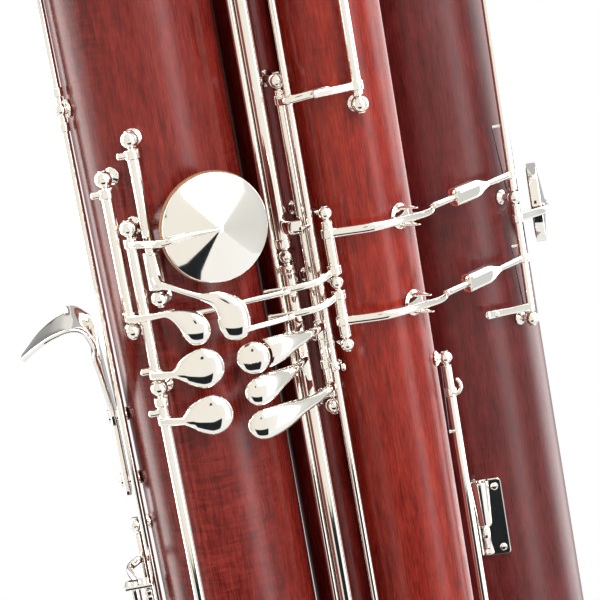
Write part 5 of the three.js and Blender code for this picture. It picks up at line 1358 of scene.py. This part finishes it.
def bell():
    """The wooden bell, and its socket and rim of metal."""
    height, waist, mouth, wall, bead, deep = BELL.values()
    sheet, joint_radius = FERRULE["wall"], radius_at(BASS, BASS["top"])
    axis, base = standing(BASS["axis"]), BASS["top"] + CLEAR
    inner, inside = joint_radius + 0.1, joint_radius - BASS["wall"]
    outer = inner + sheet * 1.5 + 0.1
    high, foot = base + height, base + deep
    low = high - bead * 3.2
    outline = [(waist + sheet, foot)]
    for i in range(1, 25):
        t = i / 24
        dip = sheet * (1 - min(t / 0.25, 1)) ** 2
        flare = (mouth - waist) * max((t - 0.15) / 0.85, 0) ** 1.4
        outline.append((waist + dip + flare, foot + (low - base - deep) * t))
    shell = lathe([(inside, base + 4), (outer - 1.2, base + 4), (waist + sheet, foot - 0.5), *outline,
                   (mouth - wall + 0.6, low), (mouth - wall, low - 1), (inside, base + height * 0.35)],
                  axis, 160, 0.3, True)
    socket = lathe([(inner, base), (inner, base - deep), (outer, base - deep), (outer, base - deep + 2.4),
                    (outer - 0.8, base - deep + 3.2), (outer - 0.8, base - 1), (outer, base),
                    (outer, base + sheet + 3), (outer - 1.4, base + sheet + 5),
                    (inside + 0.2, base + sheet + 5), (inside + 0.2, base)], axis, 160, 0.35, True)
    rim = lathe([(mouth - wall, low - 2), (mouth - 0.4, low - 2), (mouth + 0.5, low),
                 (mouth + bead, low + 2.4), (mouth + bead, high - 2.2), (mouth, high),
                 (mouth - wall + 1, high), (mouth - wall, high - 2)], axis, 160, 0.9, True)
    return shell, [socket, rim]


bell_shell, bell_metal = bell()
piece("bell_wood", "instrument", "wood", BELL_WOOD, [bell_shell], "bell")
fitting("bell_rings", bell_metal)

# --- Tuning slide and bocal -----------------------------------------------------------------------
RECEIVER = {"outer": 8.4, "height": 130, "collar": 10, "collar_height": 8, "flange": 3, "bore": 4.4}
SLIDE = {"outer": 7, "wall": 0.8, "stop": 7, "collar": 8, "collar_height": 24, "showing": 60}
SLIDE_SCREW = {"reach": 20, "stem": 1.7, "head": 6, "head_thick": 2.4, "lug": 4.4}
BOCAL = {"root": 5.6, "tip": 2.6, "wall": 0.7, "plunge": 18, "rise": 84, "forward": 138, "lean": 28,
         "fall": 12}
WING_AXIS = standing(WING["axis"])
receiver_base = WING["top"] + CLEAR
receiver_top = receiver_base + RECEIVER["height"]
clamp_level = receiver_top - RECEIVER["collar_height"] / 2
slide_top = receiver_top + SLIDE["showing"]
slide_bottom = receiver_base + RECEIVER["flange"] + SLIDE["stop"]


def receiver():
    """The tube on the wing joint that the slide draws out of, with the lug of its clamp screw."""
    outer, bore, step, lug_size = (RECEIVER["outer"], RECEIVER["bore"], RECEIVER["flange"],
                                   SLIDE_SCREW["lug"])
    inner, flange, wide = SLIDE["outer"] + 0.2, radius_at(WING, WING["top"]), RECEIVER["collar"]
    base, top = receiver_base, receiver_top
    low = top - RECEIVER["collar_height"]
    shell = lathe([(bore, base - 0.1), (flange, base - 0.1), (flange, base + step),
                   (outer, base + 2 * step), (outer, low), (wide, low), (wide, top), (inner, top),
                   (inner, base + step), (bore, base + step)], WING_AXIS, 96, 0.4, True)
    lug = slab(moved(WING["axis"][0], WING["axis"][1] - wide - lug_size / 3, clamp_level),
               2 * lug_size, lug_size * 1.4, RECEIVER["collar_height"], 0.8)
    return [shell, lug]


def tuning_slide():
    outer, wall, wide, root = SLIDE["outer"], SLIDE["wall"], SLIDE["collar"], BOCAL["root"] + 0.1
    top, neck = slide_top, slide_top - SLIDE["collar_height"]
    return lathe([(outer - wall, slide_bottom), (outer, slide_bottom), (outer, neck), (wide, neck + wall),
                  (wide, top - 3), (wide - 0.6, top - 2.4), (wide, top - 1.8), (wide, top), (root, top),
                  (root, neck), (outer - wall, neck - 2 * wall)], WING_AXIS, 96, 0.3, True)


fitting("receiver_tube", receiver(), "slide_receiver")
piece("tuning_slide_tube", "slide", "silver", SILVER, [tuning_slide()], "tuning_slide")


def thumbscrew(shape, centre, level, gap):
    """A stem towards the player with a boss and two rounded wings."""
    start = np.array([centre[0], centre[1] - gap, level])
    end = np.array([centre[0], centre[1] - shape["reach"], level])
    boss = end + np.array([0, shape["head_thick"], 0])
    reach = shape["head"]
    outline = ((0.45, 0.98), (0.55, 0.5), (0.3, 0), (0.55, -0.5), (0.45, -0.98))
    wings = limb([end + np.array([0, -reach * out, reach * up]) for out, up in outline],
                 shape["head_thick"], reach * 0.9, [0.8, 1, 1.3, 1, 0.8], [1, 1.05, 0.7, 1.05, 1],
                 across=SIDEWAYS, steps=48)
    wings.corners[:, 2] = np.clip(wings.corners[:, 2], level - reach, level + reach)
    stem = rod(start, end, shape["stem"], 32)
    return [stem, rod(boss, end, shape["stem"] * 2, 40, 0.3), wings]


piece("slide_screw", "slide_screw", "silver", SILVER,
      thumbscrew(SLIDE_SCREW, WING["axis"], clamp_level, SLIDE["outer"] + CLEAR), "slide_clamp_screw")


def bocal():
    """The bent, tapering crook with its bore, and two rings on it."""
    root, rise, forward, lean = BOCAL["root"], BOCAL["rise"], BOCAL["forward"], BOCAL["lean"]
    x, y = WING["axis"]
    bends = [(0, 0, -BOCAL["plunge"]), (0, 0, 0), (0, 0, rise * 0.45),
             (-lean * 0.1, forward * 0.12, rise * 0.85), (-lean * 0.4, forward * 0.4, rise),
             (-lean * 0.75, forward * 0.75, rise * 0.92), (-lean, forward, rise - BOCAL["fall"])]
    points = [np.array([x + side, y - front, slide_top + up]) for side, front, up in bends]
    shares = [1, 1, 1, 0.86, 0.72, 0.58, BOCAL["tip"] / root]
    steps, sides = 120, 48
    path = [path_point(points, i / steps) for i in range(steps + 1)]
    radii = [root * share_at(shares, i / steps) for i in range(steps + 1)]
    outer = pipe(path, radii, sides, False)
    inner = pipe(path, [r - BOCAL["wall"] * 0.8 for r in radii], sides, False)
    base, last = len(outer.corners), steps * sides
    ends = []
    for i in range(sides):
        k = (i + 1) % sides
        ends += [[i, k, base + k, base + i], [last + k, last + i, base + last + i, base + last + k]]
    tube = Surface(np.vstack([outer.corners, inner.corners]),
                   outer.faces + [[c + base for c in face[::-1]] for face in inner.faces] + ends)
    rings = []
    for share, thick in ((0.168, 1.1), (0.985, 0.5)):
        centre, radius = path_point(points, share), root * share_at(shares, share)
        way = path_point(points, share + 0.01) - path_point(points, share - 0.01)
        matrix, _ = along(centre, centre + way)
        rings.append(lathe([(radius - 0.2, -1.2), (radius + thick, -0.8), (radius + thick, 0.8),
                            (radius - 0.2, 1.2)], matrix, 48, 0.4, True))
    return [tube, rings]


piece("bocal_tube", "mouthpipe", "silver", SILVER, bocal(), "bocal")

# --- End pin --------------------------------------------------------------------------------------
PIN_SCREW = {"reach": 24, "stem": 2.2, "head": 8, "head_thick": 3}
pin_high, pin_low = holder_top - PIN["travel"], PIN["tip_height"] - PIN["core"] * 2
piece("end_pin_rod", "pin", "steel", STEEL, [upright((0, 0), pin_low, pin_high, PIN["radius"], 64, 0.5)],
      "end_pin")
wide, tall, tip_inner = PIN["tip_radius"], PIN["tip_height"], PIN["radius"] + 0.05
piece("end_pin_foot", "pin", "rubber", RUBBER, [lathe([
    (0, 0), (wide * 0.7, 0), (wide, tall * 0.2), (wide * 0.97, tall * 0.34), (wide * 0.9, tall * 0.5),
    (8, tall - 3), (8, tall), (tip_inner, tall), (tip_inner, pin_low - CLEAR), (0, pin_low - CLEAR),
], None, 72, 0.8)], "end_pin_tip")
piece("end_pin_screw", "pin_screw", "silver", SILVER,
      thumbscrew(PIN_SCREW, (0, 0), screw_level, PIN["radius"] + CLEAR), "end_pin_thumbscrew")

# --- Hand rest ------------------------------------------------------------------------------------
REST = {"depth": 24, "thick": 2.2, "rise": 15.5, "reach": 27.3, "standoff": 4.6, "crown": over_keys(13.2)}
REST_TILT = math.radians(3.5)


def hand_rest():
    """The saddle that arches out over the left rod, two bosses on the wood, and dark strips painted as the
    shade in their screws' slots.
    """
    flank = BASS["axis"][0] - radius_at(BASS, REST["crown"]) - REST["standoff"]
    fore = BASS["axis"][1] - 1.3 * REST["depth"]
    tail = BASS["axis"][1] - REST["depth"] / 4
    path = [[0.9, 1, 0.62], [0.66, 1, 0.28], [0.4, 1, 0.05], [0.18, 0.97, 0], [0.02, 0.8, 0.35],
            [0, 0.55, 1.05], [0, 0.25, 1.9], [0, 0, 2.7], [0, 0, 3.8], [0, 0, 4.7]]
    points = [np.array([flank - out * REST["reach"], tail + (fore - tail) * front, REST["crown"] - down
                        * REST["rise"]])
              for out, front, down in path]
    arch = limb(points, REST["depth"], REST["thick"], [0.3, 0.82, 1, 1, 0.92, 0.66, 0.42, 0.36, 0.36, 0.34],
                across=np.array([0, math.cos(REST_TILT), math.sin(REST_TILT)]), steps=90, sides=40,
                square=5, round_start=0.6, round_end=1.5)
    bosses, screws = [], []
    for level in (over_keys(-22) - REST["rise"] / 2, over_keys(-57) + REST["thick"]):
        seat = BASS["axis"][0] - math.sqrt(radius_at(BASS, level) ** 2
                                           - (tail - BASS["axis"][1]) ** 2) - 0.1
        outside = np.array([flank - REST["thick"] / 2 - 1.2, tail, level])
        bosses.append(rod(outside, np.array([seat, tail, level]), 2.6, 36, 0.5))
        # Each screw's slot is a dark strip on the boss: painted shade for the shadow in the slot.
        screws.append(slab(moved(*(outside - np.array([0.02, 0, 0]))), 0.35, 4.2, 0.5, 0.02))
    return [arch, bosses], screws


rest_surfaces, rest_slot_shades = hand_rest()
fitting("hand_rest_saddle", rest_surfaces, "hand_rest")
# The dark strips are painted slot shade.
fitting("hand_rest_slots", rest_slot_shades, material=DARK_BLUED_AND_SLOT_SHADE)

# --- Strap bracket --------------------------------------------------------------------------------
BRACKET = {"width": 11.5, "height": 31, "thick": 1.6, "z": over_keys(-114.5), "turn": -6.6}
SOCKET = {"radius": 3.1, "height": 18, "wall": 1}


def strap_bracket():
    """A plate with a half-round socket and a curled foot below it, and dark strips painted as the shade in
    its two screws' slots.
    """
    width, height, thick = BRACKET["width"], BRACKET["height"], BRACKET["thick"]
    base = on_tube(LONG, BRACKET["turn"], BRACKET["z"], CLEAR * 0.5)
    plate = slab(shifted(base, 0, height / 2, thick / 2), width, height, thick, 0.35, 1.5)
    x = -width / 2 + SOCKET["radius"]
    low, tall = height - SOCKET["height"], SOCKET["height"]
    outer, inner = SOCKET["radius"], SOCKET["radius"] - SOCKET["wall"]
    matrix, _ = along(apply(base, (x, low, thick * 0.8)), apply(base, (x, height, thick)))
    tube = lathe([(0, -1.6), (outer * 0.5, -1.3), (outer * 0.88, 0), (outer * 1.22, tall),
                  (inner * 1.3, tall), (inner * 0.9, 1.4), (0, 1.4)], matrix, 64, 0.5)

    curl = limb([apply(base, (x, low + y, thick + out)) for y, out in
                 ((1.5, 0.6), (-1, 2.4), (-4, 2.9), (-7, 1.4), (-9.6, 0.1), (-11.6, 0.5))],
                3, 1.3, [0.8, 0.7, 0.95, 0.8, 1.1, 1.3], across=SIDEWAYS, steps=48, square=2.4,
                round_end=0.8)
    heads, slots = [], []
    for y in (3, height - 3.2):
        seat = shifted(base, width / 2 - 2.7, y, thick * 0.6)
        heads.append(lathe([(0, 0), (1.45, 0), (1.45, 0.9), (1.0, 1.35), (0, 1.5)], seat, 32, 0.2))
        # The slot is a dark strip on the head: painted shade for the shadow in a cut slot.
        slots.append(slab(shifted(seat, 0, 0, 1.36), 2.5, 0.36, 0.42, 0.02))
    return [plate, tube, curl, heads], slots


bracket_surfaces, bracket_slot_shades = strap_bracket()
fitting("strap_bracket_plate", bracket_surfaces, "strap_bracket")
# The dark strips are painted slot shade.
fitting("strap_bracket_slots", bracket_slot_shades, material=DARK_BLUED_AND_SLOT_SHADE)


# --- Needle springs -------------------------------------------------------------------------------
NEEDLE_RADII = [0.34, 0.33, 0.31, 0.29, 0.27, 0.25, 0.22, 0.18]


def needle(start, end):
    start, end = np.asarray(start, float), np.asarray(end, float)
    return pipe([start + (end - start) * t for t in np.linspace(0, 1, len(NEEDLE_RADII))], NEEDLE_RADII, 12)


def spring_hook(at, reach):
    return limb([np.asarray(at, float), np.asarray(at, float) + np.array([reach, 0, 0])], 1.1, 0.9,
                round_end=0.5)


SPRINGS = [
    ("high_side", [(73.8, -6, 785.4), (71.8, -6, 809.4)], 4.2),
    ("low_side", [(73.9, -6, 737.0), (72.4, -6, 763.3)], 3.6),
    ("b_flat_vent", [(37.4, -27, 727.5), (36.6, -27, 702.2)], 3.2),
]
for name, (start, end), reach in SPRINGS:
    piece(name + "_needle", "instrument", "steel", DARK_BLUED_AND_SLOT_SHADE, [needle(start, end)])
    piece(name + "_needle_hook", name, "silver", SILVER, [spring_hook(end, reach)])

# --- Room, lamps and camera -----------------------------------------------------------------------
FLOOR_WHITE = (0.93, 0.93, 0.93)


def floor_material():
    """A pale matt floor that keeps the shadow near the object and turns plain white far from it."""
    n = Nodes(bpy.data.materials.new("floor_white"), True)
    away = n.add("VectorMath", {0: n.place["Object"]}, operation="LENGTH").outputs["Value"]
    camera_ray, mirrored = n.rays()
    factor = n.math("MULTIPLY", n.math("MAXIMUM", camera_ray, mirrored), n.span(away, 0.35, 1.3, 0.6, 1.0))
    matt = n.add("BsdfDiffuse", {"Color": (*FLOOR_WHITE, 1)})
    glow = n.add("Emission", {"Color": (1, 1, 1, 1)})
    n.add("OutputMaterial", {"Surface": n.shade(factor, matt, glow).outputs[0]})
    return n.owner


def stage_floor():
    """A round floor that ends where it is as white as the world behind it."""
    radius, top, bottom = 1400, -0.5, -6
    floor = mesh_object("floor", [lathe([(0, bottom), (radius, bottom), (radius, top), (0, top)], None,
                                        128)])
    floor.data.materials.append(floor_material())


stage_floor()


def dark_card(name, corners, colour):
    """A dark thing in the room, seen only in reflections: the photographer's side isn't all white."""
    card = mesh_object(name, [Surface(corners, [[0, 1, 2, 3]])])
    n = Nodes(bpy.data.materials.new(name))
    n.set(Base_Color=(*colour, 1), Roughness=1, Specular_IOR_Level=0)
    card.data.materials.append(n.owner)
    card.visible_camera = card.visible_diffuse = card.visible_shadow = False
    card.visible_transmission = card.visible_volume_scatter = False


CAMERA_REF = np.array([-9.8, -18.9, 760.0])
CAMERA_DISTANCE, CAMERA_PITCH, CAMERA_ROLL = 706.0, math.radians(12.5), math.radians(10.0)
camera_at = CAMERA_REF + CAMERA_DISTANCE * np.array([0, -math.cos(CAMERA_PITCH), math.sin(CAMERA_PITCH)])

dark_card("dark_gap", [(-430, -540, 60), (153, -540, 60), (153, -540, 528), (-430, -540, 500)],
          (0.032, 0.038, 0.044))
dark_card("dark_lens", [(camera_at[0] + x, camera_at[1], camera_at[2] + z)
                        for x, z in ((-70, -62), (14, -62), (14, 62), (-70, 62))], (0.06, 0.06, 0.055))
dark_card("dark_corner", [(-340, 782, 690), (-190, 782, 690), (-190, 782, 884), (-340, 782, 884)],
          (0.16, 0.165, 0.17))


def lamp(name, at, aim, width, height, strength):
    data = bpy.data.lights.new(name, "AREA")
    data.shape, data.size, data.size_y = "RECTANGLE", width * MM, height * MM
    data.energy = strength
    made = bpy.data.objects.new(name, data)
    bpy.context.scene.collection.objects.link(made)
    at, aim = np.asarray(at, float), np.asarray(aim, float)
    back = (at - aim) / np.linalg.norm(at - aim)
    across = np.cross(UP, back)
    across /= np.linalg.norm(across)
    matrix = place_matrix(across, np.cross(back, across), back, at * MM)
    made.matrix_world = Matrix(matrix.tolist())
    made.visible_camera = False
    return made


MIDDLE_OF_VIEW = np.array([-10.0, -19.0, 760.0])
LAMP_DISTANCE = 1900


def studio_lamp(name, turn, rise, width, height, strength):
    """A soft lamp at a turn from the player's side and a rise over the level, aimed at the keys."""
    level = math.cos(math.radians(rise)) * LAMP_DISTANCE
    at = MIDDLE_OF_VIEW + np.array([*toward(turn, level), math.sin(math.radians(rise)) * LAMP_DISTANCE])
    lamp(name, at, MIDDLE_OF_VIEW, width, height, strength)


studio_lamp("key", 31, 30, 900, 1200, 27)
studio_lamp("left_fill", -86, 14, 600, 1400, 7)
studio_lamp("right_fill", 98, 16, 600, 1400, 7)


def edge_gleam():
    """A slim glow between the two right joints: the pale line that their lacquer mirrors at the edge."""
    x, y = MIDDLE["axis"] + np.array([MIDDLE["radius"] + 1.0, 1.6])
    made = lamp("edge_gleam", (x, y, KEYS), (x - 10, y, KEYS), 16, 620, 0.055)
    made.visible_diffuse = False


edge_gleam()


PLAIN_LIGHT = 0.32  # the strength of the world for all but reflections and the camera
# Brightness of the studio that gloss reflects, by turn from the player's side towards +X
STUDIO_ROUND = [
    (-180, (0.86, 0.84, 0.80)), (-168, (0.80, 0.78, 0.74)), (-162, (0.26, 0.26, 0.26)),
    (-144, (0.26, 0.26, 0.26)),
    (-139, (3.6, 3.5, 3.4)), (-126, (5.0, 4.9, 4.7)), (-101, (6.2, 6.1, 5.9)), (-96, (0.62, 0.59, 0.54)),
    (-70, (0.84, 0.80, 0.73)), (-20, (0.95, 0.91, 0.84)), (12, (0.93, 0.90, 0.84)), (35, (1.0, 0.98, 0.95)),
    (42, (4.2, 4.2, 4.2)), (54, (4.2, 4.2, 4.2)), (61, (0.86, 0.86, 0.85)), (74, (0.68, 0.69, 0.68)),
    (102, (0.68, 0.69, 0.69)), (107, (3.6, 3.6, 3.6)), (143, (3.2, 3.2, 3.2)), (148, (0.5, 0.5, 0.5)),
]


def world():
    """White to the camera, a studio with brighter panels to reflections, and plain light to the rest."""
    made = bpy.data.worlds.new("studio")
    bpy.context.scene.world = made
    n = Nodes(made, True)
    way = n.add("SeparateXYZ", {0: n.place["Generated"]}).outputs
    turn = n.math("ARCTAN2", way["X"], n.math("MULTIPLY", way["Y"], -1))
    share = n.span(turn, -math.pi, math.pi, 0, 1)
    panels = n.ramp(share, *(((degrees + 180) / 360, colour) for degrees, colour in STUDIO_ROUND))
    shine = n.add("Background", {"Color": panels})
    plain = n.add("Background", {"Color": (1, 0.99, 0.98, 1), "Strength": PLAIN_LIGHT})
    white = n.add("Background", {"Color": (1, 1, 1, 1)})
    camera_ray, mirrored = n.rays()
    n.add("OutputWorld", {"Surface": n.shade(camera_ray, n.shade(mirrored, plain, shine),
                                             white).outputs[0]})


world()


def camera():
    data = bpy.data.cameras.new("camera")
    data.lens, data.sensor_width = 114, 36
    data.clip_start, data.clip_end = 0.05, 50
    made = bpy.data.objects.new("camera", data)
    bpy.context.scene.collection.objects.link(made)
    pitch, roll = CAMERA_PITCH, CAMERA_ROLL
    forward = np.array([0, math.cos(pitch), -math.sin(pitch)])
    level = np.array([0, math.sin(pitch), math.cos(pitch)])
    right = np.array([math.cos(roll), 0, 0]) - math.sin(roll) * level
    up = np.array([math.sin(roll), 0, 0]) + math.cos(roll) * level
    made.matrix_world = Matrix(place_matrix(right, up, -forward, camera_at * MM).tolist())
    bpy.context.scene.camera = made


camera()
bpy.context.scene.view_settings.view_transform = "Standard"
